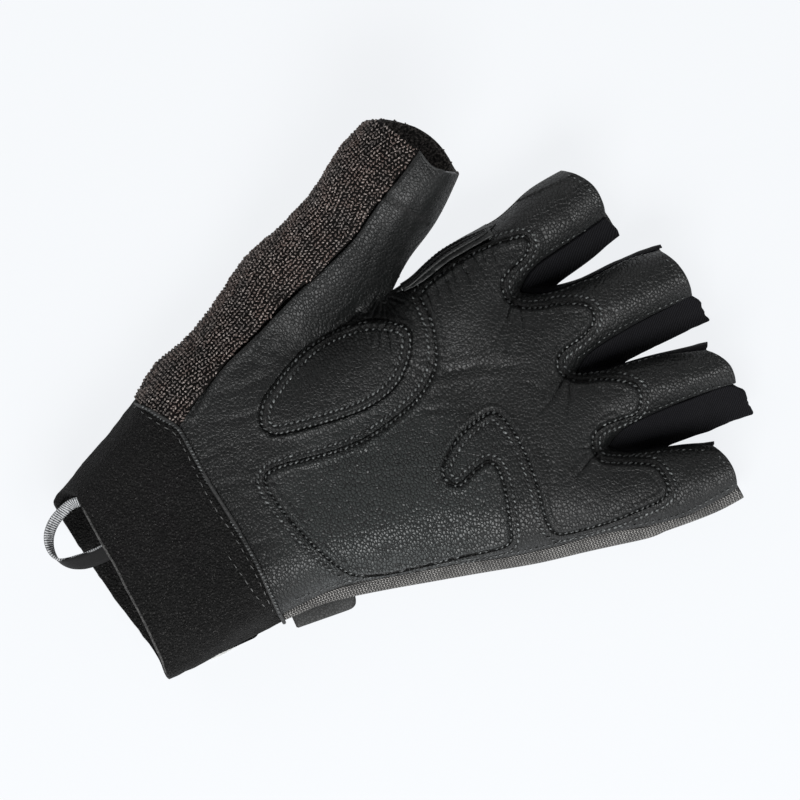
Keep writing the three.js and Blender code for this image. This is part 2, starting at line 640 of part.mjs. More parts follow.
const panels = {
  palm_leather: [...fingerFronts, thumbFront],
  back_panel: [...fingerBacks, littleWall, indexWall],
  thumb_knit: [thumbSide, thumbOuterWall, thumbBack, thumbInnerWall],
  fourchette_ring_little: [betweenFingers[0]],
  fourchette_middle_ring: [betweenFingers[1]],
  fourchette_index_middle: [betweenFingers[2]],
  cuff: [cuffTube],
};
const walls = {
  palm_leather: LEATHER,
  back_panel: BACK_KNIT,
  thumb_knit: KNIT,
  fourchette_ring_little: STRETCH,
  fourchette_middle_ring: STRETCH,
  fourchette_index_middle: STRETCH,
  cuff: CUFF_WALL,
};
const surfaces = Object.fromEntries(Object.entries(panels).map(([name, list]) => [name, meshOf(list)]));
Object.values(surfaces).forEach(addNormals);

// Second layers are cut out of a shell that follows the leather just above it.
const wasm = await Module();
wasm.setup();
function solidOf(geometry) {
  const bare = new THREE.BufferGeometry().setAttribute("position", geometry.getAttribute("position"));
  bare.setIndex(geometry.getIndex());
  const merged = mergeVertices(bare, 1e-4);
  return new wasm.Manifold(
    new wasm.Mesh({
      numProp: 3,
      vertProperties: merged.getAttribute("position").array,
      triVerts: new Uint32Array(merged.getIndex().array),
    }),
  );
}
function geometryFrom(solid) {
  const mesh = solid.getMesh();
  return new THREE.BufferGeometry()
    .setAttribute("position", new THREE.BufferAttribute(mesh.vertProperties, 3))
    .setIndex(new THREE.BufferAttribute(mesh.triVerts, 1));
}
function layerOver(surface, outline, thickness) {
  const shell = solidOf(thicken(surface, LAYER_GAP + thickness, LAYER_GAP, 0));
  const shape = new THREE.Shape(outline);
  const prism = new THREE.ExtrudeGeometry(shape, { depth: 90, bevelEnabled: false });
  prism.deleteAttribute("normal");
  prism.deleteAttribute("uv");
  return geometryFrom(shell.intersect(solidOf(prism)));
}
// The thumb's knit is cut back to leave the seam gap to the leather's wall.
const leatherGrown = thicken(surfaces.palm_leather, SEAM_GAP, -walls.palm_leather - SEAM_GAP, 0);
const thumbKnit = geometryFrom(
  solidOf(thicken(surfaces.thumb_knit, 0, -walls.thumb_knit)).subtract(solidOf(leatherGrown)),
);
// Round the tight crotch of the index finger the strip is cut narrower than its opening.
const TIGHT_STRIP_INSET = 0.6;
const indexMiddleStrip = thicken(surfaces.fourchette_index_middle, 0, -STRETCH, TIGHT_STRIP_INSET);
const smoothLoop = (points, steps) => {
  const closed = new THREE.CatmullRomCurve3(points.map((p) => new THREE.Vector3(p.x, p.y, 0)), true);
  return closed.getSpacedPoints(steps).slice(0, -1).map((p) => new THREE.Vector2(p.x, p.y));
};

const BINDING_STEPS = 14;
const bindingRail = spaced(front.sides[3].high.slice(ROOT_ROWS, CROTCH_ROW + 1), BINDING_STEPS);
// The rail moved away from the thumb by a width that grows from the crotch on.
const besideRail = (width) => bindingRail.map((p, i) => {
  const after = bindingRail[Math.min(i + 1, BINDING_STEPS)];
  const along = after.clone().sub(bindingRail[Math.max(i - 1, 0)]).normalize();
  return p.clone().add(new THREE.Vector2(along.y, -along.x).multiplyScalar(width(i)));
});
const bindingWidth = (i) => BINDING_WIDTH * (0.55 + 0.45 * smooth(i / 5));
const bindingInner = besideRail(bindingWidth);
const bindingOuter = besideRail(() => -SEAM_GAP);
const patchBeside = besideRail((i) => bindingWidth(i) + 2 * SEAM_GAP);
palmPatchLine.push(...patchBeside.slice(3, -1).filter((p, i) => i % 2 === 0).reverse());

const palmPatch = layerOver(surfaces.palm_leather, smoothLoop(palmPatchLine, 170), PATCH_LEATHER);
const thumbPatch = layerOver(surfaces.palm_leather, smoothLoop(thumbPatchLine, 44), PATCH_LEATHER);

// The ridged binding covers the leather's edge between the thumb and the index finger.
const bindingOutline = [...bindingInner.slice(1, -1), ...bindingOuter.slice(1, -1).reverse()];
const indexBinding = layerOver(meshOf(fingerFronts), bindingOutline, BINDING_THICK);

// A rolled binding covers the seam between the cuff and the hand.
const bindingRings = seamRing.map((p, i) => {
  const before = seamRing.at(i - 1);
  const after = seamRing[(i + 1) % seamRing.length];
  const out = normalAt(p).clone().normalize();
  const along = after.clone().sub(before).normalize();
  const side = out.clone().cross(along).normalize();
  const centre = p.clone().addScaledVector(out, BINDING_RADIUS + LAYER_GAP);
  return Array.from({ length: 6 }, (_, k) => {
    const a = (k / 6) * 2 * Math.PI;
    return centre
      .clone()
      .addScaledVector(out, Math.cos(a) * BINDING_RADIUS)
      .addScaledVector(side, Math.sin(a) * BINDING_RADIUS);
  });
});
const cuffBinding = loft(bindingRings, true);

// The tape loop is sewn inside the mouth and comes out over the back of the cuff.
const loopPoints = loopPath.map(
  (s) => new THREE.Vector3(
    -CUFF_LENGTH - s.behind * CUFF_LENGTH,
    CUFF_CENTRE_Y + s.across * CUFF_WIDTH,
    CLOSURE_DEPTH + s.up * CUFF_HEIGHT,
  ),
);
const LOOP_STEPS = 36;
const loopCurve = new THREE.CatmullRomCurve3(loopPoints);
const loopRings = Array.from({ length: LOOP_STEPS + 1 }, (_, i) => {
  const t = i / LOOP_STEPS;
  const at = t * (loopPath.length - 1);
  const k = Math.min(Math.floor(at), loopPath.length - 2);
  const turn = THREE.MathUtils.lerp(loopPath[k].roll, loopPath[k + 1].roll, at - k);
  const centre = loopCurve.getPoint(t);
  const along = loopCurve.getTangent(t);
  const level = new THREE.Vector3().crossVectors(UP, along).normalize();
  level.applyAxisAngle(along, THREE.MathUtils.degToRad(turn));
  const face = new THREE.Vector3().crossVectors(along, level);
  const corner = (w, h) => centre
    .clone()
    .addScaledVector(level, (w * LOOP_TAPE.width) / 2)
    .addScaledVector(face, (h * LOOP_TAPE.thickness) / 2);
  return [corner(-1, 1), corner(1, 1), corner(1, -1), corner(-1, -1)];
});
const pullLoop = loft(loopRings);

// The strap crosses under the cuff, with a plain rubber patch below it and a leather pull tab beside it.
function plate(x0, x1, y0, y1, z0, thickness, corner) {
  const shape = new THREE.Shape();
  shape.moveTo(x0 + corner, y0);
  shape.lineTo(x1 - corner, y0);
  shape.absarc(x1 - corner, y0 + corner, corner, -Math.PI / 2, 0, false);
  shape.lineTo(x1, y1 - corner);
  shape.absarc(x1 - corner, y1 - corner, corner, 0, Math.PI / 2, false);
  shape.lineTo(x0 + corner, y1);
  shape.absarc(x0 + corner, y1 - corner, corner, Math.PI / 2, Math.PI, false);
  shape.lineTo(x0, y0 + corner);
  shape.absarc(x0 + corner, y0 + corner, corner, Math.PI, 1.5 * Math.PI, false);
  const flat = new THREE.ExtrudeGeometry(shape, { depth: thickness, bevelEnabled: false, curveSegments: 4 });
  flat.translate(0, 0, z0);
  return flat;
}
const cuffLittleEdge = CUFF_CENTRE_Y - CUFF_WIDTH / 2;
const strapMiddleX = -CUFF_LENGTH / 2;
const strapZ = STRAP_PATCH.thickness + SEAM_GAP;
const strap = plate(
  strapMiddleX - STRAP.width / 2, strapMiddleX + STRAP.width / 2,
  cuffLittleEdge + 1, cuffLittleEdge + 1 + STRAP.length, strapZ, STRAP.thickness, 3,
);
// The patch lies square to the band's edge, which runs in towards the seam.
const patchEdge = (cuffLittleEdge + palmLines.front[0][0].y) / 2 - STRAP_PATCH.proud;
const strapPatch = plate(
  -STRAP_PATCH.width / 2, STRAP_PATCH.width / 2, 0, STRAP_PATCH.length, 0, STRAP_PATCH.thickness, 3,
);
strapPatch.rotateZ(THREE.MathUtils.degToRad(STRAP_PATCH.turn));
strapPatch.translate(STRAP_PATCH.middle, patchEdge, 0);
// The tab is sewn on next to the binding and lies close under the back panel.
const tabEdge = palmLines.back[0][1].y - TAB.proud;
const TAB_STEPS = 10;
const tabRings = Array.from({ length: TAB_STEPS + 1 }, (_, i) => {
  const t = i / TAB_STEPS;
  const x = TAB.start + t * TAB.length;
  const rounded = TAB.width * (0.75 + 0.25 * roll((1 - t) / 0.15));
  const y0 = tabEdge - TAB.slant * t + (TAB.width - rounded) / 2;
  const top = floorAt(x) - SEAM_GAP;
  return [[0, 1], [1, 1], [1, 0], [0, 0]].map(
    ([v, w]) => new THREE.Vector3(x, y0 + v * rounded, top - (1 - w) * TAB.thickness),
  );
});
const pullTab = loft(tabRings);

// Materials.
const finish = (color, roughness) => new THREE.MeshStandardMaterial({ color, roughness, metalness: 0 });
const leather = finish(0x2b2e2f, 0.5);
const patchLeather = finish(0x303334, 0.48);
const brownKnit = finish(0x3d3531, 0.95);
const backKnit = finish(0x56504b, 0.95);
const blackStretch = finish(0x101014, 0.9);
const plush = finish(0x0c0c0c, 1);
const tape = finish(0x222222, 0.8);
const paleRubber = finish(0xc9cac8, 0.6);

const materials = {
  palm_leather: leather,
  back_panel: backKnit,
  thumb_knit: brownKnit,
  fourchette_ring_little: blackStretch,
  fourchette_middle_ring: blackStretch,
  fourchette_index_middle: blackStretch,
  cuff: plush,
};

const glove = new THREE.Group();
function add(name, geometry, material) {
  const mesh = new THREE.Mesh(geometry, material);
  mesh.name = name;
  glove.add(mesh);
}
const cut = { thumb_knit: thumbKnit, fourchette_index_middle: indexMiddleStrip };
for (const [name, surface] of Object.entries(surfaces)) {
  add(name, cut[name] ?? thicken(surface, 0, -walls[name]), materials[name]);
}
add("palm_patch", palmPatch, patchLeather);
add("thumb_patch", thumbPatch, patchLeather);
add("index_binding", indexBinding, leather);
add("cuff_binding", cuffBinding, leather);
add("pull_loop", pullLoop, tape);
add("wrist_strap", strap, plush);
add("strap_patch", strapPatch, paleRubber);
add("pull_tab", pullTab, leather);

// The origin is the middle of the glove's box, on the surface that it lies on.
const box = new THREE.Box3().setFromObject(glove);
const middle = box.getCenter(new THREE.Vector3());
glove.position.set(-middle.x, -middle.y, -box.min.z);

export default glove;
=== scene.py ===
import math

import bmesh
import bpy
import numpy as np
from mathutils import Matrix, Vector
from mathutils.bvhtree import BVHTree
from mathutils.kdtree import KDTree


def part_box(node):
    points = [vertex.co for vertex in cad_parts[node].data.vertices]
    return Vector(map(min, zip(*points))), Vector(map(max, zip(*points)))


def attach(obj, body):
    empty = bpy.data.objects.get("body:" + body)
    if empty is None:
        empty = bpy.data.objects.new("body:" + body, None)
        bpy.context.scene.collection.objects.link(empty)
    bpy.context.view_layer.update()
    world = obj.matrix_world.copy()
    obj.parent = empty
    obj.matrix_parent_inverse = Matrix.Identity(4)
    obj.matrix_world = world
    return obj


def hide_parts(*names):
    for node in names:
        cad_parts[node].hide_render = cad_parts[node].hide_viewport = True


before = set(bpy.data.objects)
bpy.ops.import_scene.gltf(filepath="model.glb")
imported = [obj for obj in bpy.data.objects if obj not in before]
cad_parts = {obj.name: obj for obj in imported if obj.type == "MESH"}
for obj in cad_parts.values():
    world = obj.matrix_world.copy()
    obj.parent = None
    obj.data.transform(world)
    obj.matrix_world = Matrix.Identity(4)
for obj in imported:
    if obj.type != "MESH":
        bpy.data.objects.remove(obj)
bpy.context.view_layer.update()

# The photographer's table. The glove lies on its back and is photographed from straight above
# with a long lens. Places are in millimetres from the middle of the wrist seam: x towards the
# fingertips, y towards the thumb, z up.
STRAP_CORNER = (-30.5, -33.5)
strap_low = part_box("wrist_strap")[0]
seam_middle = Vector((strap_low[0] - STRAP_CORNER[0] / 1000, strap_low[1] - STRAP_CORNER[1] / 1000, 0))


def at(x, y, z=0.0):
    return seam_middle + Vector((x, y, z)) / 1000


VIEW_WIDTH = 0.216
VIEW_DISTANCE = 1.6
GLOVE_HEIGHT = 0.018
VIEW_MIDDLE = (54.6, 9.7)
VIEW_TURN = math.radians(-24)
camera_data = bpy.data.cameras.new("camera")
camera_data.lens = camera_data.sensor_width * (VIEW_DISTANCE - GLOVE_HEIGHT) / VIEW_WIDTH
camera = bpy.data.objects.new("camera", camera_data)
camera.location = at(*VIEW_MIDDLE, VIEW_DISTANCE * 1000)
camera.rotation_euler = (0, 0, VIEW_TURN)
bpy.context.collection.objects.link(camera)
bpy.context.scene.camera = camera
bpy.context.scene.view_settings.view_transform = "Standard"

# Soft studio light: a room that is bright low down and dark overhead, where the camera looks
# from, and two broad lamps that bring out the leather's grain.
ZENITH_LIGHT = 0.1
HORIZON_LIGHT = 1.8
world = bpy.data.worlds.new("room")
world.use_nodes = True
sky = world.node_tree
direction = sky.nodes.new("ShaderNodeTexCoord").outputs["Generated"]
split = sky.nodes.new("ShaderNodeSeparateXYZ")
sky.links.new(direction, split.inputs[0])
lowness = sky.nodes.new("ShaderNodeMath")
lowness.operation = "SUBTRACT"
lowness.use_clamp = True
lowness.inputs[0].default_value = 1.0
sky.links.new(split.outputs["Z"], lowness.inputs[1])
falloff = sky.nodes.new("ShaderNodeMath")
falloff.operation = "POWER"
falloff.inputs[1].default_value = 2.0
sky.links.new(lowness.outputs[0], falloff.inputs[0])
strength = sky.nodes.new("ShaderNodeMapRange")
strength.inputs["To Min"].default_value = ZENITH_LIGHT
strength.inputs["To Max"].default_value = HORIZON_LIGHT
sky.links.new(falloff.outputs[0], strength.inputs["Value"])
sky.nodes["Background"].inputs["Color"].default_value = (0.985, 0.992, 1.0, 1)
sky.links.new(strength.outputs[0], sky.nodes["Background"].inputs["Strength"])
bpy.context.scene.world = world


def lamp(name, place, target, size, power):
    data = bpy.data.lights.new(name, "AREA")
    data.shape = "RECTANGLE"
    data.size, data.size_y = size
    data.energy = power
    light = bpy.data.objects.new(name, data)
    light.location = place
    light.rotation_euler = (Vector(target) - Vector(place)).to_track_quat("-Z", "Y").to_euler()
    bpy.context.collection.objects.link(light)


lamp("little_finger_side", at(-140, -560, 650), at(40, 0, 10), (0.7, 0.45), 11)
lamp("thumb_side", at(-300, 560, 560), at(40, 0, 10), (0.7, 0.4), 1.2)

bpy.ops.object.select_all(action="DESELECT")
bpy.ops.mesh.primitive_plane_add(size=3, location=(0, 0, 0))
floor = bpy.context.object
floor.name = "floor"
# a white table top lit from below, so that hardly any shadow shows on it
TABLE_GLOW = 0.895
paper = bpy.data.materials.new("lit_table")
paper.use_nodes = True
table_top = paper.node_tree.nodes["Principled BSDF"]
table_top.inputs["Base Color"].default_value = (0.06, 0.062, 0.064, 1)
table_top.inputs["Roughness"].default_value = 0.9
table_top.inputs["Emission Color"].default_value = (0.93, 0.95, 0.975, 1)
table_top.inputs["Emission Strength"].default_value = TABLE_GLOW
floor.data.materials.append(paper)

# Palm: one piece of thin goat leather that covers the palm, the fronts of the four half fingers
# and the inner side of the thumb. It is sewn to the knit back along the edges of the fingers.
PALM_LENGTH = 100.0
PALM_WIDTH = 92.0


def panel_copy(node, name, levels, rim):
    """A finer, rounded copy of one of the frame's panels. rim keeps its cut edges crisp."""
    piece = bpy.data.objects.new(name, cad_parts[node].data.copy())
    bpy.context.collection.objects.link(piece)
    bpy.ops.object.select_all(action="DESELECT")
    piece.select_set(True)
    bpy.context.view_layer.objects.active = piece
    bpy.ops.object.mode_set(mode="EDIT")
    bpy.ops.mesh.select_all(action="SELECT")
    bpy.ops.mesh.remove_doubles(threshold=0.00001)
    bpy.ops.mesh.tris_convert_to_quads(face_threshold=math.pi, shape_threshold=math.pi)
    bpy.ops.mesh.select_mode(type="EDGE")
    bpy.ops.mesh.select_all(action="DESELECT")
    bpy.ops.mesh.edges_select_sharp(sharpness=math.radians(60))
    bpy.ops.transform.edge_crease(value=rim)
    bpy.ops.object.mode_set(mode="OBJECT")
    if piece.data.has_custom_normals:
        bpy.ops.mesh.customdata_custom_splitnormals_clear()
    if levels:
        finer = piece.modifiers.new("finer", "SUBSURF")
        finer.levels = finer.render_levels = levels
        bpy.ops.object.modifier_apply(modifier="finer")
    bpy.ops.object.shade_smooth()
    piece.data.materials.clear()
    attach(piece, "root")
    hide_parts(node)
    return piece


def read_places(piece):
    """The points of a piece in millimetres from the middle of the wrist seam."""
    flat = np.empty(len(piece.data.vertices) * 3)
    piece.data.vertices.foreach_get("co", flat)
    return (flat.reshape(-1, 3) - np.array(seam_middle)) * 1000


def write_places(piece, places):
    piece.data.vertices.foreach_set("co", (places / 1000 + np.array(seam_middle)).ravel())
    piece.data.update()


def read_normals(piece):
    flat = np.empty(len(piece.data.vertices) * 3)
    piece.data.vertices.foreach_get("normal", flat)
    return flat.reshape(-1, 3)


def surface_of(piece):
    """A search tree over a piece's faces, in millimetres from the middle of the wrist seam."""
    places = read_places(piece)
    return BVHTree.FromPolygons(places.tolist(), [tuple(f.vertices) for f in piece.data.polygons])


def seen_from_above(piece):
    """Which points of a piece have nothing of it above them and face up."""
    tree = surface_of(piece)
    up = Vector((0, 0, 1))
    normals = read_normals(piece)
    open_sky = np.zeros(len(normals), bool)
    for i, place in enumerate(read_places(piece)):
        if normals[i][2] > 0.05:
            start = Vector(place) + Vector(normals[i]) * 0.05
            open_sky[i] = tree.ray_cast(start, up)[0] is None
    return open_sky


def smooth_line(points, step, closed=False):
    """Evenly spaced points on a smooth curve through the given ones."""
    p = np.array(points, float)
    before = p[-1] if closed else 2 * p[0] - p[1]
    after = p[:2] if closed else 2 * p[-1] - p[-2]
    full = np.vstack([before, p, after])
    t = np.linspace(0, 1, 12, endpoint=False)[:, None]
    spans = []
    for a, b, c, d in zip(full, full[1:], full[2:], full[3:]):
        spans.append(0.5 * (2 * b + (c - a) * t + (2 * a - 5 * b + 4 * c - d) * t**2
                            + (3 * b - a - 3 * c + d) * t**3))
    curve = np.vstack(spans + [full[-2][None]])
    run = np.concatenate([[0], np.cumsum(np.linalg.norm(np.diff(curve, axis=0), axis=1))])
    even = np.linspace(0, run[-1], max(int(run[-1] / step), 2) + 1)
    return np.column_stack([np.interp(even, run, curve[:, k]) for k in range(curve.shape[1])])


def moved_aside(line, aside):
    """A line in plan moved to its left by aside."""
    along = np.gradient(line, axis=0)
    along /= np.linalg.norm(along, axis=1)[:, None]
    return line + aside * np.column_stack([-along[:, 1], along[:, 0]])


# Outlines of the second layers, in shares of the palm's length and width.
palm_layer = [
    (0.714, 0.36), (0.712, 0.325), (0.71, 0.262), (0.683, 0.174), (0.649, 0.126), (0.579, 0.08),
    (0.472, 0.048), (0.394, 0.038), (0.292, 0.048), (0.19, 0.066), (0.137, 0.062), (0.126, 0.02),
    (0.144, -0.07), (0.172, -0.164), (0.212, -0.26), (0.245, -0.306), (0.313, -0.338), (0.423, -0.364),
    (0.532, -0.386), (0.622, -0.406), (0.662, -0.402), (0.682, -0.349), (0.7, -0.275), (0.711, -0.205),
    (0.695, -0.168), (0.652, -0.177), (0.597, -0.195), (0.571, -0.166), (0.577, -0.122), (0.64, -0.068),
    (0.708, -0.04), (0.766, -0.038), (0.792, -0.108), (0.797, -0.19), (0.793, -0.272), (0.781, -0.346),
    (0.776, -0.401), (0.787, -0.436), (0.832, -0.452), (0.93, -0.468), (1.027, -0.472), (1.081, -0.47),
    (1.109, -0.452), (1.109, -0.4), (1.088, -0.366), (1.02, -0.33), (0.974, -0.3), (0.966, -0.26),
    (0.982, -0.218), (1.02, -0.203), (1.075, -0.205), (1.112, -0.207), (1.136, -0.186), (1.144, -0.149),
    (1.12, -0.115), (1.071, -0.085), (1.004, -0.06), (0.974, -0.026), (0.97, 0.015), (0.998, 0.045),
    (1.062, 0.061), (1.104, 0.083), (1.118, 0.117), (1.096, 0.145), (1.042, 0.171), (1.004, 0.179),
    (0.949, 0.202), (0.917, 0.243), (0.924, 0.301), (0.958, 0.326), (1.01, 0.345), (1.034, 0.374),
    (1.021, 0.398),
]
beside_binding = [(0.93, 0.408), (0.87, 0.405), (0.81, 0.396), (0.75, 0.38)]
thumb_layer = [
    (0.56, 0.352), (0.618, 0.317), (0.641, 0.287), (0.636, 0.248), (0.605, 0.199), (0.565, 0.16),
    (0.507, 0.134), (0.43, 0.126), (0.328, 0.137), (0.243, 0.152), (0.196, 0.168), (0.18, 0.209),
    (0.207, 0.26), (0.253, 0.292), (0.3, 0.321), (0.36, 0.35), (0.42, 0.364), (0.49, 0.366),
]
in_palm = np.array((PALM_LENGTH, PALM_WIDTH))
palm_layer_line = smooth_line(np.array(palm_layer + beside_binding) * in_palm, 0.5, closed=True)
thumb_layer_line = smooth_line(np.array(thumb_layer) * in_palm, 0.5, closed=True)

# Folds of the leather: x and y of the start and of the end, depth and width, in millimetres.
palm_folds = [
    # towards the thumb's crotch
    (60.2, 36.4, 55.6, 32.2, 0.8, 0.42), (60.7, 35.6, 57.6, 30.6, 0.9, 0.4),
    (61.3, 35.2, 59.6, 29.6, 0.9, 0.4), (61.8, 35.2, 61.7, 28.6, 0.9, 0.4),
    (62.5, 35.6, 64, 29.5, 0.8, 0.42), (63.1, 36.2, 67.5, 31, 0.7, 0.45),
    (60, 37.4, 53.5, 34.3, 0.7, 0.5), (57.6, 30.6, 55, 24.5, 1.5, 0.5), (59.2, 30.2, 57.8, 23, 1.6, 0.5),
    (60.7, 29.8, 60.6, 23.5, 1.4, 0.5), (61.8, 28.8, 62.6, 24, 1.1, 0.5), (54, 37, 36, 32.5, 1.3, 1.6),
    (55, 30, 47, 22, 0.5, 1.2),
    # from the index finger's binding into the palm
    (76, 36.5, 75.2, 27, 0.9, 0.5), (79, 37, 78, 26, 1.0, 0.5), (81.4, 37.2, 80.6, 29, 0.8, 0.45),
    (84, 37.6, 84.6, 26, 1.0, 0.5), (88, 38, 88.5, 28, 0.9, 0.5), (90.4, 38, 90.6, 30, 0.7, 0.45),
    (93, 37.5, 93.4, 30, 0.7, 0.5), (73, 35, 71.5, 25, 0.8, 0.6),
    # below the fingers' crotches
    (93, 22, 84, 14, 1.1, 0.6), (94, 20.5, 91, 10, 0.8, 0.5), (97, -3, 87, -9, 1.1, 0.6),
    (98, -4.5, 92, -14, 0.9, 0.5), (97, -24.5, 86, -29, 1.1, 0.6), (98, -23, 90, -20, 0.8, 0.5),
    (101, 19, 106, 8, 0.4, 0.8), (101, -5, 107, -15, 0.4, 0.8), (103, -28, 108, -38, 0.4, 0.8),
    # long shallow creases across the palm
    (66, 12, 92, 2, 0.5, 1.4), (60, 4, 72, -2, 0.4, 1.0), (30, 2, 60, -10, 0.35, 1.6),
    (84, -12, 80, -34, 0.35, 1.2), (20, 22, 4, 26, 0.4, 1.2), (24, 30, 6, 33, 0.35, 1.2),
    (40, 12, 30, -6, 0.3, 1.2), (88, 0, 96, -14, 0.35, 1.0), (86, 10, 94, 22, 0.4, 1.0),
    (0.5, 8, 16, 3, 0.2, 1.2), (1, -10, 13, -13, 0.18, 1.1), (1, 17, 14, 15, 0.18, 1.1),
    # along the thumb
    (64, 42, 84, 58, 0.5, 1.4), (60, 44, 78, 58.5, 0.35, 1.1), (70, 46, 88, 60, 0.4, 1.0),
    # across the fingers
    (108, 32, 111, 45, 0.3, 1.2), (117, 33, 118, 46, 0.3, 1.4), (118, 5, 116, 18, 0.3, 1.3),
    (128, 5, 127, 18, 0.25, 1.2), (116, -19, 116, -8, 0.3, 1.2), (128, -20, 129, -10, 0.25, 1.2),
    (112, -46, 116, -34, 0.3, 1.2),
]


FOLD_BOW = 0.06


def fold_heights(plan, folds):
    """Heights of creases that are deepest at their start and fade out, each beside a low ridge."""
    total = np.zeros(len(plan))
    for x0, y0, x1, y1, depth, width in folds:
        start = np.array((x0, y0))
        run = np.array((x1, y1)) - start
        along = (plan - start) @ run / (run @ run)
        held = np.clip(along, 0, 1)
        bow = np.array((-run[1], run[0])) * FOLD_BOW
        nearest = start + held[:, None] * run + np.sin(math.pi * held)[:, None] * bow
        off = np.linalg.norm(plan - nearest, axis=1) / width
        fade = np.clip(1.15 - held, 0, 1) * np.clip((along + 0.15) / 0.15, 0, 1)
        total += depth * fade * (0.45 * np.exp(-((off - 1.7) ** 2)) - np.exp(-(off**2)))
    return total


def rough_noise(plan, size, seed, depth=3):
    """Soft random heights between about -1 and 1, whose largest lumps are size wide."""
    grid = np.random.default_rng(seed)
    total = np.zeros(len(plan))
    share = 1.0
    for octave in range(depth):
        cell = size / 2**octave
        table = grid.uniform(-1, 1, (64, 64))
        p = plan / cell + 17.3 * (octave + 1)
        i = np.floor(p).astype(int)
        f = p - i
        f = f * f * (3 - 2 * f)
        a, b = i[:, 0] % 64, i[:, 1] % 64
        c, d = (a + 1) % 64, (b + 1) % 64
        low_side = table[a, b] * (1 - f[:, 0]) + table[c, b] * f[:, 0]
        high_side = table[a, d] * (1 - f[:, 0]) + table[c, d] * f[:, 0]
        total += share * (low_side * (1 - f[:, 1]) + high_side * f[:, 1])
        share *= 0.5
    return total


def along_lines(plan, lines):
    """Distance from each point to the nearest of the lines, and how far along that line it is."""
    tree = KDTree(sum(len(line) for line in lines))
    run = []
    for line in lines:
        steps = np.concatenate([[0], np.cumsum(np.linalg.norm(np.diff(line, axis=0), axis=1))])
        for place, length in zip(line, steps):
            tree.insert((place[0], place[1], 0), len(run))
            run.append(length)
    tree.balance()
    found = [tree.find((p[0], p[1], 0)) for p in plan]
    return np.array([f[2] for f in found]), np.array([run[f[1]] for f in found])


ROW_INSET = 0.2
ROW_SPACING = 2.0
layer_lines = [palm_layer_line, thumb_layer_line]
seam_rows = [moved_aside(line, -ROW_INSET - extra) for line in layer_lines for extra in (0, ROW_SPACING)]
STITCH_PITCH = 1.55
GROOVE_DEPTH = 0.34
GROOVE_WIDTH = 0.5
WELT_HEIGHT = 0.26
CREST_HEIGHT = 0.12
PUCKER_HEIGHT = 0.16
PUCKER_PITCH = 3.1


def sewn_heights(plan):
    """The groove that each row of stitches pulls into leather, with a hole at each stitch's end,
    the welt between the two rows, and the crest and puckers beside them. The second result says
    how deep in a groove each point is."""
    off, run = along_lines(plan, seam_rows)
    hole = (0.5 + 0.5 * np.cos(2 * math.pi * run / STITCH_PITCH)) ** 2
    in_groove = (0.65 + 0.35 * hole) * np.exp(-((off / GROOVE_WIDTH) ** 2))
    from_edge, _ = along_lines(plan, layer_lines)
    between_rows = np.clip(1 - np.abs(from_edge - ROW_INSET - ROW_SPACING / 2) / (ROW_SPACING / 2), 0, 1)
    wander = rough_noise(plan, 9, 5)
    crest = np.exp(-((off - 1.1) / 0.8) ** 2)
    pucker = PUCKER_HEIGHT * np.cos(2 * math.pi * run / PUCKER_PITCH + 2.5 * wander)
    pucker *= crest * np.clip(0.6 + wander, 0, 1.4)
    heights = -GROOVE_DEPTH * in_groove + WELT_HEIGHT * between_rows**0.6 + CREST_HEIGHT * crest
    return heights + pucker, np.exp(-((off / GROOVE_WIDTH) ** 2))


def keep_shares(piece, name, shares):
    """Keeps a number for each point of a piece, for its material to read."""
    layer = piece.data.attributes.new(name, "FLOAT", "POINT")
    layer.data.foreach_set("value", shares)


palm = panel_copy("palm_leather", "palm_front", 3, 0.75)
# the mesh is finer where folds gather at the thumb's crotch
THUMB_CROTCH = at(60.5, 31.5)
FOLDED_WIDTH = 0.0095
work = bmesh.new()
work.from_mesh(palm.data)
folded = [f for f in work.faces if (f.calc_center_median() - THUMB_CROTCH).to_2d().length < FOLDED_WIDTH]
folded_edges = {e for f in folded if f.normal.z > 0 for e in f.edges}
bmesh.ops.subdivide_edges(work, edges=list(folded_edges), cuts=2, use_grid_fill=True)
work.to_mesh(palm.data)
work.free()

# folds, soft waves all over, and loose skin over the ball of the thumb
FOLD_STRENGTH = 0.8
WAVE_HEIGHT = 0.17
LOOSE_HEIGHT = 0.45
LUMP_HEIGHT = 0.05
places = read_places(palm)
open_sky = seen_from_above(palm)
plan = places[:, :2]
loose_skin = np.exp(-(((plan[:, 0] - 31) / 8) ** 2) - ((plan[:, 1] - 35) / 6) ** 2)
places[:, 2] += FOLD_STRENGTH * fold_heights(plan, palm_folds) + WAVE_HEIGHT * rough_noise(plan, 11, 1, 2)
places[:, 2] += LOOSE_HEIGHT * loose_skin * rough_noise(plan * (1, 1.6), 4.5, 6, 3)

# the end of the thumb is hemmed: its leather is doubled from this line to the mouth
HEM_LINE = smooth_line([(71.5, 64.5), (73.5, 61), (77, 56), (80.5, 51.3), (83, 48)], 0.5)
HEM_MIDDLE = np.array((77.0, 56.0))
HEM_THICKNESS = 0.55
HEM_GROOVE = 0.5
thumb_end = np.array((math.cos(math.radians(33)), math.sin(math.radians(33))))
off_hem, _ = along_lines(plan, [HEM_LINE])
past_hem = (plan - HEM_MIDDLE) @ thumb_end
on_thumb = (plan[:, 1] > 46) & (plan[:, 0] > 62)
past_hem = np.where(past_hem > 0, off_hem, -off_hem) * on_thumb
hem = np.clip(past_hem / 0.8 + 0.5, 0, 1) * on_thumb
places[:, 2] += HEM_THICKNESS * hem - HEM_GROOVE * np.exp(-(((past_hem + 0.5) / 0.6) ** 2)) * on_thumb

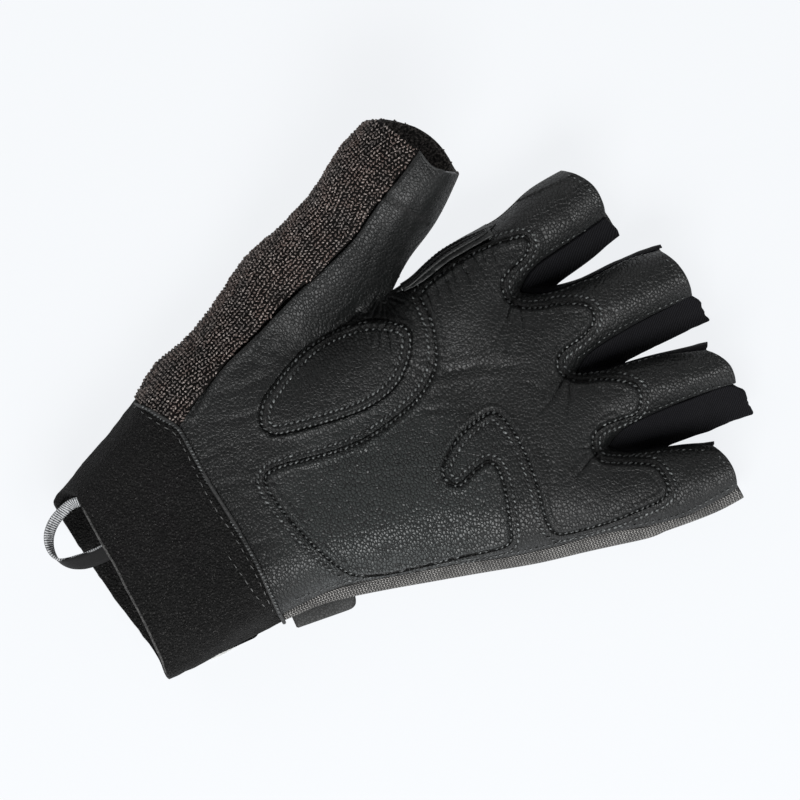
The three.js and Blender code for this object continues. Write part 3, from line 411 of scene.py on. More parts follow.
# a low welt beside the seam where the thumb's knit begins
KNIT_SEAM = smooth_line([(1.8, 29.3), (13.8, 37), (25.7, 41.2), (36.3, 45.6), (48.2, 49.8), (60, 53.7),
                         (70.9, 60.3), (78.7, 64), (85.3, 67.5)], 0.5)
KNIT_WELT = 0.5
KNIT_GROOVE = 0.35
off_knit, _ = along_lines(plan, [KNIT_SEAM])
places[:, 2] += KNIT_WELT * np.exp(-(((off_knit - 1.2) / 0.8) ** 2))
places[:, 2] -= KNIT_GROOVE * np.exp(-((off_knit / 0.5) ** 2))
write_places(palm, places)
normals = read_normals(palm)
bare = places + (open_sky * LUMP_HEIGHT * rough_noise(plan, 2.4, 2, 2))[:, None] * normals
heights, in_groove = sewn_heights(plan)
write_places(palm, bare + (open_sky * heights)[:, None] * normals)
# painted shade: how dark the leather is painted in the stitch grooves and the hem's groove
hem_groove = np.exp(-(((past_hem + 0.5) / 0.5) ** 2)) * on_thumb
keep_shares(palm, "sewn", open_sky * np.maximum(in_groove, 0.8 * hem_groove))


def shader(name):
    """A new material and its node tree."""
    material = bpy.data.materials.new(name)
    material.use_nodes = True
    return material, material.node_tree


def group_tree(name, inputs, outputs):
    """A new node group with named number or colour inputs and outputs."""
    tree = bpy.data.node_groups.new(name, "ShaderNodeTree")
    for label, kind, value in inputs:
        socket = tree.interface.new_socket(label, in_out="INPUT", socket_type=kind)
        socket.default_value = value
    for label, kind in outputs:
        tree.interface.new_socket(label, in_out="OUTPUT", socket_type=kind)
    return tree, tree.nodes.new("NodeGroupInput"), tree.nodes.new("NodeGroupOutput")


def add(tree, kind, links=(), **settings):
    """Adds a node, sets its properties and plain input values, and links inputs to it."""
    node = tree.nodes.new(kind)
    for label, value in settings.items():
        setattr(node, label, value)
    for label, value in dict(links).items():
        if isinstance(value, bpy.types.NodeSocket):
            tree.links.new(value, node.inputs[label])
        else:
            node.inputs[label].default_value = value
    return node


def maths(tree, operation, a, b=0.0, clamp=False):
    node = add(tree, "ShaderNodeMath", {0: a, 1: b}, operation=operation, use_clamp=clamp)
    return node.outputs[0]


def plus(tree, a, b):
    return maths(tree, "ADD", a, b)


def times(tree, a, b):
    return maths(tree, "MULTIPLY", a, b)


def ramp(tree, factor, low, high, at_low=0.0, at_high=1.0):
    """A soft step: at_low where the factor is low or less, at_high where it is high or more."""
    node = add(tree, "ShaderNodeMapRange", {
        "Value": factor, "From Min": low, "From Max": high, "To Min": at_low, "To Max": at_high,
    }, interpolation_type="SMOOTHSTEP")
    return node.outputs[0]


def mixed(tree, factor, a, b):
    node = add(tree, "ShaderNodeMix", {}, data_type="RGBA")
    for socket, value in ((0, factor), (6, a), (7, b)):
        if isinstance(value, bpy.types.NodeSocket):
            tree.links.new(value, node.inputs[socket])
        else:
            node.inputs[socket].default_value = value
    return node.outputs[2]


def noise(tree, scale, detail=2.0, roughness=0.5):
    """Random shades between 0 and 1 that stay with the piece."""
    where = tree.nodes.new("ShaderNodeTexCoord").outputs["Object"]
    return add(tree, "ShaderNodeTexNoise", {
        "Vector": where, "Scale": scale, "Detail": detail, "Roughness": roughness,
    }).outputs[0]


def cells(tree, where, scale, feature="DISTANCE_TO_EDGE"):
    """Distance from each place to the edge of its cell, or with F1 to the cell's middle."""
    node = add(tree, "ShaderNodeTexVoronoi", {"Vector": where, "Scale": scale}, feature=feature)
    return node.outputs["Distance"]


def shifted(tree, where, scale, detail, reach):
    """Places moved by up to reach metres, so that a pattern on them isn't even."""
    cloud = add(tree, "ShaderNodeTexNoise", {"Vector": where, "Scale": scale, "Detail": detail})
    moved = add(tree, "ShaderNodeVectorMath", {0: cloud.outputs["Color"], 1: (reach, reach, reach)},
                operation="MULTIPLY")
    return add(tree, "ShaderNodeVectorMath", {0: where, 1: moved.outputs[0]}, operation="ADD").outputs[0]


def finish(material, colour, roughness, height=None, relief=0.0, specular=0.5):
    """Joins a colour, a roughness and a bumpy height of relief metres to a material's shader."""
    tree = material.node_tree
    principled = tree.nodes["Principled BSDF"]
    tree.links.new(colour, principled.inputs["Base Color"])
    tree.links.new(roughness, principled.inputs["Roughness"])
    if height is not None:
        bump = add(tree, "ShaderNodeBump", {"Height": height, "Distance": relief})
        tree.links.new(bump.outputs[0], principled.inputs["Normal"])
    principled.inputs["Specular IOR Level"].default_value = specular


# Goat grain: rounded pebbles between fine creases, some finer ones, and sparse wrinkles. The
# pebbles are strongest where the hide is tight over the heel of the hand; where it is loose
# they give way to fine parallel lines.
PEBBLE_SCALE = 1080.0
WRINKLE_SCALE = 150.0
STRAND_SCALE = 620.0
HEEL_OF_HAND = at(40, -20, 25)
HEEL_NEAR = 0.014
HEEL_FAR = 0.042
goat, given, made = group_tree(
    "goat_grain",
    [("Dark", "NodeSocketColor", (0.004, 0.0045, 0.0045, 1)),
     ("Light", "NodeSocketColor", (0.01, 0.012, 0.012, 1)),
     ("Pebble", "NodeSocketFloat", PEBBLE_SCALE), ("Dull", "NodeSocketFloat", 0.5)],
    [("Color", "NodeSocketColor"), ("Roughness", "NodeSocketFloat"), ("Height", "NodeSocketFloat")],
)
where = goat.nodes.new("ShaderNodeTexCoord").outputs["Object"]
placed = shifted(goat, where, 420.0, 2.0, 0.0005)
long_placed = shifted(goat, where, 90.0, 3.0, 0.006)
# seen from above the pebbles are a little longer across the hand than along it
pressed = add(goat, "ShaderNodeMapping", {
    "Vector": placed, "Rotation": (0, 0, math.radians(24)), "Scale": (1.15, 0.87, 0.35),
}).outputs[0]
pebbles = cells(goat, pressed, given.outputs["Pebble"], "F1")
to_crease = cells(goat, pressed, given.outputs["Pebble"])
dome = maths(goat, "SUBTRACT", 1.0, maths(goat, "POWER", pebbles, 2.0), clamp=True)
pebble_height = plus(goat, times(goat, dome, 0.6), ramp(goat, to_crease, 0.0, 0.18, 0.0, 0.4))
crease = ramp(goat, to_crease, 0.0, 0.13, 1.0, 0.0)
# how tight the hide is, in patches and towards the heel of the hand, where the colour also gets a painted
# sheen
patchy = noise(goat, 38.0)
from_heel = add(goat, "ShaderNodeVectorMath", {0: where, 1: tuple(HEEL_OF_HAND)}, operation="DISTANCE")
taut_and_sheen = ramp(goat, from_heel.outputs["Value"], HEEL_NEAR, HEEL_FAR, 1.0, 0.0)
tight = maths(goat, "MAXIMUM", ramp(goat, patchy, 0.35, 0.65, 0.3, 0.55), taut_and_sheen)
in_crease = times(goat, crease, tight)
# sparse wrinkles
wrinkle_line = ramp(goat, cells(goat, long_placed, WRINKLE_SCALE), 0.0, 0.06, 1.0, 0.0)
wrinkle = times(goat, wrinkle_line, ramp(goat, noise(goat, 60.0), 0.5, 0.7))
# fine lines, combed along the hand
combed = add(goat, "ShaderNodeMapping", {
    "Vector": long_placed, "Rotation": (0, 0, math.radians(20)), "Scale": (0.3, 1.0, 1.0),
}).outputs[0]
strand = add(goat, "ShaderNodeTexNoise", {"Vector": combed, "Scale": STRAND_SCALE, "Detail": 2.0})
line_off = maths(goat, "ABSOLUTE", maths(goat, "SUBTRACT", strand.outputs[0], 0.5))
loose = ramp(goat, patchy, 0.35, 0.65, 0.75, 0.15)
fine_lines = times(goat, ramp(goat, line_off, 0.0, 0.09, 1.0, 0.0), loose)
grain = plus(goat, times(goat, pebble_height, 1.5), times(goat, noise(goat, 1500.0), 0.25))
creased = plus(goat, times(goat, wrinkle, 0.3), times(goat, fine_lines, 0.14))
goat.links.new(maths(goat, "SUBTRACT", times(goat, grain, tight), creased), made.inputs["Height"])
# painted sheen: the hide over the heel of the hand is painted lighter, and painted shade darkens the
# creases where the hide is tight; the heel is also shinier, and the creases duller
blotch = noise(goat, 55.0, 5.0, 0.6)
shade = plus(goat, times(goat, blotch, 0.18), times(goat, taut_and_sheen, 0.78))
shade = maths(goat, "SUBTRACT", shade, times(goat, in_crease, 1.1), clamp=True)
goat.links.new(mixed(goat, shade, given.outputs["Dark"], given.outputs["Light"]), made.inputs["Color"])
dullness = plus(goat, given.outputs["Dull"], times(goat, blotch, 0.14))
dullness = plus(goat, dullness, times(goat, maths(goat, "SUBTRACT", 1.0, taut_and_sheen), 0.12))
goat.links.new(plus(goat, dullness, times(goat, in_crease, 0.4)), made.inputs["Roughness"])


def leather(name, dark, light, pebble=PEBBLE_SCALE, dull=0.24, relief=0.00034):
    """Goat leather, painted near black as painted shade where stitches have pulled it into grooves."""
    material, tree = shader(name)
    skin = tree.nodes.new("ShaderNodeGroup")
    skin.node_tree = goat
    for label, value in (("Dark", dark), ("Light", light), ("Pebble", pebble), ("Dull", dull)):
        skin.inputs[label].default_value = value
    sewn = add(tree, "ShaderNodeAttribute", attribute_name="sewn").outputs["Fac"]
    # painted shade: the colour goes near black in the grooves
    colour = mixed(tree, times(tree, sewn, 0.95), skin.outputs["Color"], (0.001, 0.001, 0.001, 1))
    roughness = plus(tree, skin.outputs["Roughness"], times(tree, sewn, 0.25))
    finish(material, colour, roughness, skin.outputs["Height"], relief, specular=0.35)
    return material


# the lighter colour is mostly painted sheen over the heel of the hand
palm_skin = leather("palm_leather", (0.001, 0.0013, 0.0013, 1), (0.03, 0.034, 0.0335, 1))
palm.data.materials.append(palm_skin)

# Second layers: a large reinforcement over the palm, with a hooked gap that lets the palm bend,
# and a leaf over the ball of the thumb. Both are cut from the same hide and sewn down twice.
LAYER_THICKNESS = 0.75
SEWN_WIDTH = 3.4
EDGE_TAPER = 1.3
# how far out and down each step of the rounded cut edge is
rounded_edge = [(0.28, -0.1), (0.45, -0.35), (0.5, -0.75)]


def inside(plan, outline):
    """Which points in plan lie inside a closed outline."""
    x, y = plan[:, 0], plan[:, 1]
    result = np.zeros(len(plan), bool)
    for (x0, y0), (x1, y1) in zip(outline, np.roll(outline, -1, axis=0)):
        crossing = (y0 > y) != (y1 > y)
        if y0 != y1:
            result ^= crossing & (x < (x1 - x0) * (y - y0) / (y1 - y0) + x0)
    return result


def drop_specks(work):
    """Keeps the largest island of a mesh, without faces that hang on by one edge."""
    islands = []
    unseen = set(work.verts)
    while unseen:
        stack = [unseen.pop()]
        island = set(stack)
        while stack:
            for edge in stack.pop().link_edges:
                for v in edge.verts:
                    if v not in island:
                        island.add(v)
                        unseen.discard(v)
                        stack.append(v)
        islands.append(island)
    largest = max(islands, key=len)
    bmesh.ops.delete(work, geom=[v for v in work.verts if v not in largest], context="VERTS")
    for _ in range(4):
        spikes = [f for f in work.faces if sum(e.is_boundary for e in f.edges) >= 3]
        bmesh.ops.delete(work, geom=spikes, context="FACES")
    work.normal_update()


def rim_to_outline(work, under, outline):
    """Moves a mesh's rim onto the outline, on the surface under it, and evens out the points beside it."""
    rim = {v for v in work.verts if any(e.is_boundary for e in v.link_edges)}
    tree = KDTree(len(outline))
    for i, p in enumerate(outline):
        tree.insert((p[0], p[1], 0), i)
    tree.balance()
    for v in rim:
        place = (np.array(v.co) - np.array(seam_middle)) * 1000
        near = tree.find((place[0], place[1], 0))[0]
        hit = under.ray_cast(Vector((near[0], near[1], 80)), Vector((0, 0, -1)))[0]
        v.co = Vector(hit) / 1000 + seam_middle if hit else v.co
    beside = [v for v in work.verts if v not in rim and any(e.other_vert(v) in rim for e in v.link_edges)]
    bmesh.ops.smooth_vert(work, verts=beside, factor=0.5, use_axis_x=True, use_axis_y=True, use_axis_z=True)
    work.normal_update()


def turned_down(work, edges, lift):
    """Carries the top's open edges outwards and down in the steps of the rounded edge."""
    outward = {}
    for v in {v for e in edges for v in e.verts}:
        out = Vector((0, 0, 0))
        for e in v.link_edges:
            if e.is_boundary:
                middle = e.link_faces[0].calc_center_median()
                side = (e.verts[1].co - e.verts[0].co).cross(lift[v])
                if side.dot(middle - e.verts[0].co) > 0:
                    side.negate()
                out += side.normalized()
        outward[v] = out.normalized() if out.length > 0 else out
    starts = {v: (v.co.copy(), outward[v], lift[v]) for v in outward}
    for out, down in rounded_edge:
        carried = bmesh.ops.extrude_edge_only(work, edges=edges)["geom"]
        fresh = [g for g in carried if isinstance(g, bmesh.types.BMVert)]
        moved = {}
        for v in fresh:
            for e in v.link_edges:
                if e.other_vert(v) in starts:
                    moved[v] = starts[e.other_vert(v)]
        for v, (start, side, up) in moved.items():
            v.co = start + (side * out + up * down) / 1000
        starts = moved
        edges = [g for g in carried if isinstance(g, bmesh.types.BMEdge) and g.is_boundary]


def second_layer(name, node, outline):
    """Lays a piece of leather with rounded cut edges on the part of the palm inside an outline."""
    piece = palm.copy()
    piece.data = palm.data.copy()
    piece.name = piece.data.name = name
    bpy.context.collection.objects.link(piece)
    write_places(piece, bare)
    under = surface_of(piece)
    keep = inside(places[:, :2], outline) & open_sky
    work = bmesh.new()
    work.from_mesh(piece.data)
    work.verts.ensure_lookup_table()
    lost = [f for f in work.faces if not all(keep[v.index] for v in f.verts)]
    bmesh.ops.delete(work, geom=lost, context="FACES")
    drop_specks(work)
    rim_to_outline(work, under, outline)
    # the underside keeps the coarser mesh; the top is split finer along its stitches
    top = list(work.faces)
    copied = bmesh.ops.duplicate(work, geom=top)
    lowered = {v for v in copied["geom"] if isinstance(v, bmesh.types.BMVert)}
    bmesh.ops.reverse_faces(work, faces=[f for f in copied["geom"] if isinstance(f, bmesh.types.BMFace)])
    middles = np.array([f.calc_center_median() for f in top])
    near_rows, _ = along_lines((middles - np.array(seam_middle))[:, :2] * 1000, layer_lines)
    sewn_edges = {e for f, off in zip(top, near_rows) if off < SEWN_WIDTH for e in f.edges}
    bmesh.ops.subdivide_edges(work, edges=list(sewn_edges), cuts=2, use_grid_fill=True)
    work.normal_update()
    upper = [v for v in work.verts if v not in lowered]
    lift = {v: v.normal.copy() for v in upper}
    spots = (np.array([v.co for v in upper]) - np.array(seam_middle)) * 1000
    heights, in_groove = sewn_heights(spots[:, :2])
    # painted shade: how dark the layer's top is painted in its stitch grooves
    shares = work.verts.layers.float["sewn"]
    from_edge, _ = along_lines(spots[:, :2], [outline])
    thickness = LAYER_THICKNESS * (0.35 + 0.65 * np.clip(from_edge / EDGE_TAPER, 0, 1))
    for v, height, share in zip(upper, thickness + heights, in_groove):
        v.co += lift[v] * height / 1000
        v[shares] = share
    turned_down(work, [e for e in work.edges if e.is_boundary and e.verts[0] not in lowered], lift)
    work.to_mesh(piece.data)
    work.free()
    piece.data.update()
    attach(piece, "root")
    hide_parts(node)
    return piece


palm_layer_piece = second_layer("palm_reinforcement", "palm_patch", palm_layer_line)
thumb_layer_piece = second_layer("thumb_reinforcement", "thumb_patch", thumb_layer_line)

# Thread: black waxed polyester, lockstitched. Each stitch that shows is a short raised bead
# between two needle holes, drawn tight into the leather.
bpy.ops.object.select_all(action="DESELECT")
bpy.ops.mesh.primitive_uv_sphere_add(segments=6, ring_count=4, radius=1)
bead = bpy.context.object
bead_points = np.array([v.co for v in bead.data.vertices])
bead_faces = [tuple(f.vertices) for f in bead.data.polygons]
bpy.data.objects.remove(bead)
# beads lie along x: the sphere's poles are turned there and its middle is arched
bead_points = bead_points[:, [2, 1, 0]] * np.array((1, 1, -1))
bead_points[:, 2] -= 0.5 * bead_points[:, 0] ** 2

thread, tree = shader("black_thread")
strands = noise(tree, 5200.0)
# painted glints: random patches of the black thread are painted pale grey
painted_glint = ramp(tree, noise(tree, 900.0), 0.35, 0.65)
finish(thread, mixed(tree, painted_glint, (0.005, 0.006, 0.006, 1), (0.1, 0.107, 0.107, 1)),
       ramp(tree, strands, 0.3, 0.7, 0.22, 0.4), strands, 0.00006)


def new_piece(name, points, faces, material):
    """A smooth piece from points in millimetres from the middle of the wrist seam."""
    mesh = bpy.data.meshes.new(name)
    mesh.from_pydata((points / 1000 + np.array(seam_middle)).tolist(), [], faces)
    piece = bpy.data.objects.new(name, mesh)
    bpy.context.collection.objects.link(piece)
    bpy.ops.object.select_all(action="DESELECT")
    piece.select_set(True)
    bpy.context.view_layer.objects.active = piece
    bpy.ops.object.shade_smooth()
    mesh.materials.append(material)
    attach(piece, "root")
    return piece


def beads(name, centres, alongs, ups, half_sizes, material):
    """One mesh of many beads, each turned along its own direction on the surface."""
    ups = ups / np.linalg.norm(ups, axis=1)[:, None]
    sides = np.cross(ups, alongs)
    sides /= np.linalg.norm(sides, axis=1)[:, None]
    alongs = np.cross(sides, ups)
    turned = np.stack([alongs, sides, ups], axis=1)
    points = np.einsum("pk,nk,nkc->npc", bead_points, half_sizes, turned) + centres[:, None]
    count = len(bead_points)
    faces = [tuple(v + i * count for v in f) for i in range(len(centres)) for f in bead_faces]
    return new_piece(name, points.reshape(-1, 3), faces, material)


def top_hit(trees, x, y):
    """The highest point of the given surfaces under a place in plan, and its normal."""
    hits = [tree.ray_cast(Vector((x, y, 90)), Vector((0, 0, -1)))[:2] for tree in trees]
    hits = [hit for hit in hits if hit[0] is not None]
    return max(hits, key=lambda hit: hit[0].z) if hits else (None, None)


def sew(name, lines, trees, pitch=STITCH_PITCH, half=(0.7, 0.34, 0.3), slant=30.0, yarn=thread):
    """Rows of stitches laid along lines in plan on top of the given surfaces. half is half of a
    stitch's length, width and height, and slant its turn from the row in degrees."""
    draw = np.random.default_rng(3)
    centres, alongs, ups = [], [], []
    for line in lines:
        steps = np.concatenate([[0], np.cumsum(np.linalg.norm(np.diff(line, axis=0), axis=1))])
        runs = np.arange(pitch / 2, steps[-1] - pitch / 3, pitch)
        places_on = np.column_stack([np.interp(runs, steps, line[:, k]) for k in (0, 1)])
        ahead = np.column_stack([np.interp(runs + 0.3, steps, line[:, k]) for k in (0, 1)])
        for (x, y), direction in zip(places_on, ahead - places_on):
            hit, up = top_hit(trees, x, y)
            if hit is None or up.z < 0.12 or not direction.any():
                continue
            turn = math.radians(slant + draw.normal(0, 7))
            along = Vector((direction[0], direction[1], 0)).normalized()
            along.rotate(Matrix.Rotation(turn, 3, up))
            centres.append(hit + up * 0.12)
            alongs.append(along)
            ups.append(up)
    sizes = np.array(half) * draw.normal(1, 0.12, (len(centres), 3))
    piece = beads(name, np.array(centres), np.array(alongs), np.array(ups), sizes, yarn)
    return piece


palm_trees = [surface_of(palm), surface_of(palm_layer_piece), surface_of(thumb_layer_piece)]
sew("palm_stitches", seam_rows, palm_trees)

# Side seams of the fingers and the hems at their ends: the leather's edge is turned under and
# held by stitches close to the fold. Each line follows one edge of the leather in plan.
edge_lines = {
    "index_low": [(121.5, 31.6), (112.3, 30.8), (104.2, 29.4), (98.8, 27.1), (96, 25)],
    "index_end": [(120.4, 47.2), (123.2, 43.5), (124.9, 38.5), (125.4, 34.2)],
    "middle_high": [(101, 20.2), (106.3, 18.9), (111.8, 18.9), (118.2, 18.2), (125.5, 19.2), (133, 18.6)],
    "middle_low": [(136.5, 3.8), (129.8, 3.9), (122.3, 3.7), (114.7, 3.2), (108.2, 1.7), (103, 0.6)],
    "middle_end": [(135.2, 17.2), (136.4, 12.6), (137.3, 8.4), (137.6, 4.6)],
    "ring_high": [(105.5, -5.8), (113, -6.3), (124.1, -8), (131.7, -9.3), (135.6, -10.8)],
    "ring_low": [(137.5, -22.4), (129.1, -20.9), (120.3, -20.8), (111.6, -20.5), (103.7, -21.4)],
    "ring_end": [(136.5, -11.6), (137.8, -15.4), (138.4, -19), (138.2, -22)],
    "little_high": [(105.5, -29.3), (110.8, -31), (118.6, -33.6), (125.6, -36.8)],
    "little_low": [(126.6, -48.3), (112.3, -49.4), (101.8, -47.7), (88.3, -44.1), (77.6, -42.9),
                   (63.8, -40), (50.3, -36.1), (36.6, -32.9), (19.1, -29), (6, -27.9)],
    "little_end": [(127, -38.6), (127.7, -41.8), (127.7, -45.4), (127.2, -48.4)],
}
edge_seams = [smooth_line(line, 0.5) for line in edge_lines.values()]
sew("finger_stitches", edge_seams, palm_trees, pitch=1.7, half=(0.5, 0.17, 0.16), slant=14)

# Binding between the thumb and the index finger: a narrow leather strip folded over the edge and
# stitched so tightly that it stands in three fine cords.
binding = panel_copy("index_binding", "index_binding_strip", 1, 0.6)
binding_skin = leather("binding_leather", (0.012, 0.0128, 0.0128, 1), (0.085, 0.09, 0.089, 1),
                       pebble=1300.0, dull=0.3, relief=0.0001)
binding.data.materials.append(binding_skin)
binding_edge = smooth_line([(65.5, 37.6), (70, 38.4), (75, 40.2), (81, 41.9), (87, 42.6), (93, 42.9),
                            (97.4, 43.5)], 0.4)
binding_trees = palm_trees + [surface_of(binding)]
CORD_SIDES = 8


def laid_cord(name, line, trees, radius, material, sink=0.3, taper=1.5, wave=0.0, wave_pitch=1.5):
    """A closed round cord laid along a line in plan on the given surfaces. sink is the share of its
    radius that lies under them, taper how long its ends are, and wave gives it a rope's ripple."""
    hits = [top_hit(trees, x, y) for x, y in line]
    centres = np.array([hit for hit, _ in hits if hit is not None])
    ups = np.array([up for hit, up in hits if hit is not None])
    for _ in range(3):
        centres[1:-1] = (centres[:-2] + 2 * centres[1:-1] + centres[2:]) / 4
        ups[1:-1] = (ups[:-2] + 2 * ups[1:-1] + ups[2:]) / 4
    alongs = np.gradient(centres, axis=0)
    alongs /= np.linalg.norm(alongs, axis=1)[:, None]
    across = np.cross(ups, alongs)
    across /= np.linalg.norm(across, axis=1)[:, None]
    ups = np.cross(alongs, across)
    run = np.concatenate([[0], np.cumsum(np.linalg.norm(np.diff(centres, axis=0), axis=1))])
    size = radius * np.clip(np.minimum(run, run[-1] - run) / taper, 0.15, 1) ** 0.5
    turn = np.linspace(0, 2 * math.pi, CORD_SIDES, endpoint=False)
    swell = size[:, None] * (1 + wave * np.sin(2 * math.pi * run[:, None] / wave_pitch + turn))
    middles = centres + ups * size[:, None] * (1 - sink)
    spokes = np.cos(turn)[None, :, None] * across[:, None] + np.sin(turn)[None, :, None] * ups[:, None]
    rings = middles[:, None] + swell[..., None] * spokes
    faces = []
    for j in range(len(centres) - 1):
        for k in range(CORD_SIDES):
            a, b = j * CORD_SIDES + k, j * CORD_SIDES + (k + 1) % CORD_SIDES
            faces.append((a, b, b + CORD_SIDES, a + CORD_SIDES))
    faces.append(tuple(reversed(range(CORD_SIDES))))
    faces.append(tuple((len(centres) - 1) * CORD_SIDES + k for k in range(CORD_SIDES)))
    piece = new_piece(name, rings.reshape(-1, 3), faces, material)
    bpy.ops.object.mode_set(mode="EDIT")
    bpy.ops.mesh.select_all(action="SELECT")
    bpy.ops.mesh.normals_make_consistent(inside=False)
    bpy.ops.object.mode_set(mode="OBJECT")
    return piece


# the cords and the stitches between them run together at both ends
BUNDLE_INSET = 0.9
bundle = np.sin(np.linspace(0, math.pi, len(binding_edge)))[:, None] ** 0.6


def in_bundle(inset):
    return moved_aside(binding_edge, -(BUNDLE_INSET + (inset - BUNDLE_INSET) * bundle))


for i, inset in enumerate((0.35, 1.15, 1.95)):
    laid_cord(f"index_binding_cord_{i + 1}", in_bundle(inset), binding_trees, 0.45, binding_skin,
              taper=12.0, wave=0.28, wave_pitch=1.2)
sew("binding_edge_stitches", [in_bundle(0.75), in_bundle(1.55)], binding_trees,
    pitch=1.3, half=(0.5, 0.2, 0.36), slant=18.0)

# Edge of the leather at the thumb's mouth: the hide is cut there and not turned under, so that its
# paler inside shows as a thin line.
EDGE_INSET = 0.25
cut_edge = []
for y in np.arange(60.5, 69.5, 0.5):
    for x in np.arange(97.0, 80.0, -0.1):
        if top_hit(palm_trees[:1], x, y)[0] is not None:
            cut_edge.append((x - EDGE_INSET, y))
            break
cut_skin = leather("cut_leather", (0.02, 0.021, 0.021, 1), (0.12, 0.125, 0.124, 1),
                   pebble=1600.0, dull=0.5, relief=0.0001)
laid_cord("thumb_leather_edge", smooth_line(cut_edge[::3], 0.4), palm_trees[:1], 0.26, cut_skin,
          sink=0.9)

# Thumb: a coarse brown-grey knit wraps round the outside and the back of the thumb. Its loops
# stand proud in columns that run along the thumb, slanted one way and then the other.
thumb = panel_copy("thumb_knit", "thumb_wrap", 2, 0.5)
THUMB_WAVES = 0.75
points = read_places(thumb)
thumb_normals = read_normals(thumb)
# soft waves on the outside of the thumb, away from the seam with the leather
outer = np.clip((points[:, 1] - 0.65 * points[:, 0] - 14) / 6, 0, 1)
points += thumb_normals * (outer * THUMB_WAVES * rough_noise(points[:, :2], 13, 41, 3))[:, None]
# the mouth's outer corner is rounded
MOUTH_CORNER = np.array((78.3, 83.7))
to_corner = np.linalg.norm(points[:, :2] - MOUTH_CORNER, axis=1)
points[:, :2] += 1.7 * np.exp(-((to_corner / 2.6) ** 2))[:, None] * np.array((-0.1, -1.0))
write_places(thumb, points)
KNIT_COLUMN = 1.05
KNIT_ROW = 1.02
LOOP_HALF = (0.54, 0.25, 0.36)
LOOP_SLANT = 34
WORN_FLAT = 0.42
THICKEST_WALL = 4.0
thumb_axis = smooth_line([(-7, 31, 13), (4, 37, 13.5), (18, 43, 14), (32, 48, 16), (46, 53.5, 19),
                          (60, 59, 23), (74, 66, 27.5), (91, 76, 33)], KNIT_ROW)


def outer_face(tree, centre, ahead, turns):
    """Places and normals of a sleeve's outer face, looking out from its axis at each turn."""
    side = Vector((0, 0, 1)).cross(ahead).normalized()
    up = ahead.cross(side)
    found = []
    for turn in turns:
        ray = side * math.cos(turn) + up * math.sin(turn)
        inner = tree.ray_cast(Vector(centre), ray)[0]
        place, normal = tree.ray_cast(inner + ray * 0.05, ray)[:2] if inner is not None else (None, None)
        near = place is not None and (place - inner).length < THICKEST_WALL
        found.append((place, normal) if near else None)
    return found


def knit_loops(name, piece, axis, column, material):
    """Loops in even columns to both sides of the top of a sleeve, in a row for each place of its axis."""
    tree = surface_of(piece)
    draw = np.random.default_rng(8)
    centres, alongs, ups = [], [], []
    turns = np.linspace(-math.pi, math.pi, 361)
    middle = len(turns) // 2
    for centre, direction in zip(axis, np.gradient(axis, axis=0)):
        ahead = Vector(direction).normalized()
        found = outer_face(tree, centre, ahead, turns)
        for first, half_round in ((1, found[middle:]), (0, found[middle::-1])):
            last = None
            length = 0.0
            number = 0
            for here in half_round:
                if here is not None and last is not None:
                    length += (here[0] - last).length
                last = here[0] if here is not None else None
                if here is None or length < (number + 0.5) * column or abs(here[1].dot(ahead)) >= 0.5:
                    continue
                place, up = here
                slant = LOOP_SLANT if (number + first) % 2 else -LOOP_SLANT
                along = ahead.copy()
                along.rotate(Matrix.Rotation(math.radians(slant + draw.normal(0, 13)), 3, up))
                shift = ahead * draw.normal(0, 0.1) + ahead.cross(up) * draw.normal(0, 0.08)
                # the loops on the side towards the fingers are worn flat
                worn = WORN_FLAT if ahead.cross(Vector((0, 0, 1))).dot(up) > 0.5 else 0.0
                centres.append(place + up * (draw.normal(0.08, 0.05) - worn) + shift)
                alongs.append(along)
                ups.append(up)
                number += 1
    sizes = np.array(LOOP_HALF) * draw.normal(1, 0.16, (len(centres), 3))
    return beads(name, np.array(centres), np.array(alongs), np.array(ups), sizes, material)


knit_yarn, tree = shader("brown_knit_yarn")
fibres = noise(tree, 7000.0)
browned = ramp(tree, noise(tree, 170.0, 3.0), 0.35, 0.65)
brown = mixed(tree, browned, (0.037, 0.032, 0.03, 1), (0.075, 0.05, 0.042, 1))
flecked = mixed(tree, ramp(tree, noise(tree, 1900.0, 3.0), 0.45, 0.72), brown, (0.38, 0.33, 0.305, 1))
finish(knit_yarn, flecked, ramp(tree, fibres, 0.2, 0.8, 0.75, 0.95), fibres, 0.00012)
# painted shade: the knit under the loops is painted almost black, for the shade in the gaps between them
thumb_gap_shade, tree = shader("brown_knit_painted_gap_shade")
fibres = noise(tree, 2400.0, 3.0)
finish(thumb_gap_shade, mixed(tree, fibres, (0.0008, 0.0007, 0.0007, 1), (0.005, 0.004, 0.0035, 1)),
       ramp(tree, fibres, 0.2, 0.8, 0.8, 1.0), fibres, 0.0003, specular=0.12)
thumb.data.materials.append(thumb_gap_shade)
# the fleecy inside of the knit, which shows in the mouth of the thumb
fleece, tree = shader("grey_fleece")
hairs = noise(tree, 1500.0, 4.0, 0.7)
finish(fleece, mixed(tree, ramp(tree, hairs, 0.42, 0.7), (0.004, 0.0038, 0.0036, 1), (0.11, 0.1, 0.094, 1)),
       ramp(tree, hairs, 0.2, 0.8, 0.85, 1.0), hairs, 0.0006, specular=0.15)
thumb.data.materials.append(fleece)
axis_tree = KDTree(len(thumb_axis))
for i, place in enumerate(thumb_axis):
    axis_tree.insert(place, i)
axis_tree.balance()
for face in thumb.data.polygons:
    middle = (face.center - seam_middle) * 1000
    face.material_index = int((middle - axis_tree.find(middle)[0]).dot(face.normal) < 0)
thumb_loops = knit_loops("thumb_loops", thumb, thumb_axis, KNIT_COLUMN, knit_yarn)

# Back of the hand: one piece of finer grey-beige knit, whose edge shows beyond the leather along
# the little finger's side. A thread map follows it round from the back to the seams.
back = panel_copy("back_panel", "back_of_hand", 2, 0.5)
EDGE_TURN = 7.0
BACK_COLUMN = 1.15
BACK_ROW = 0.8


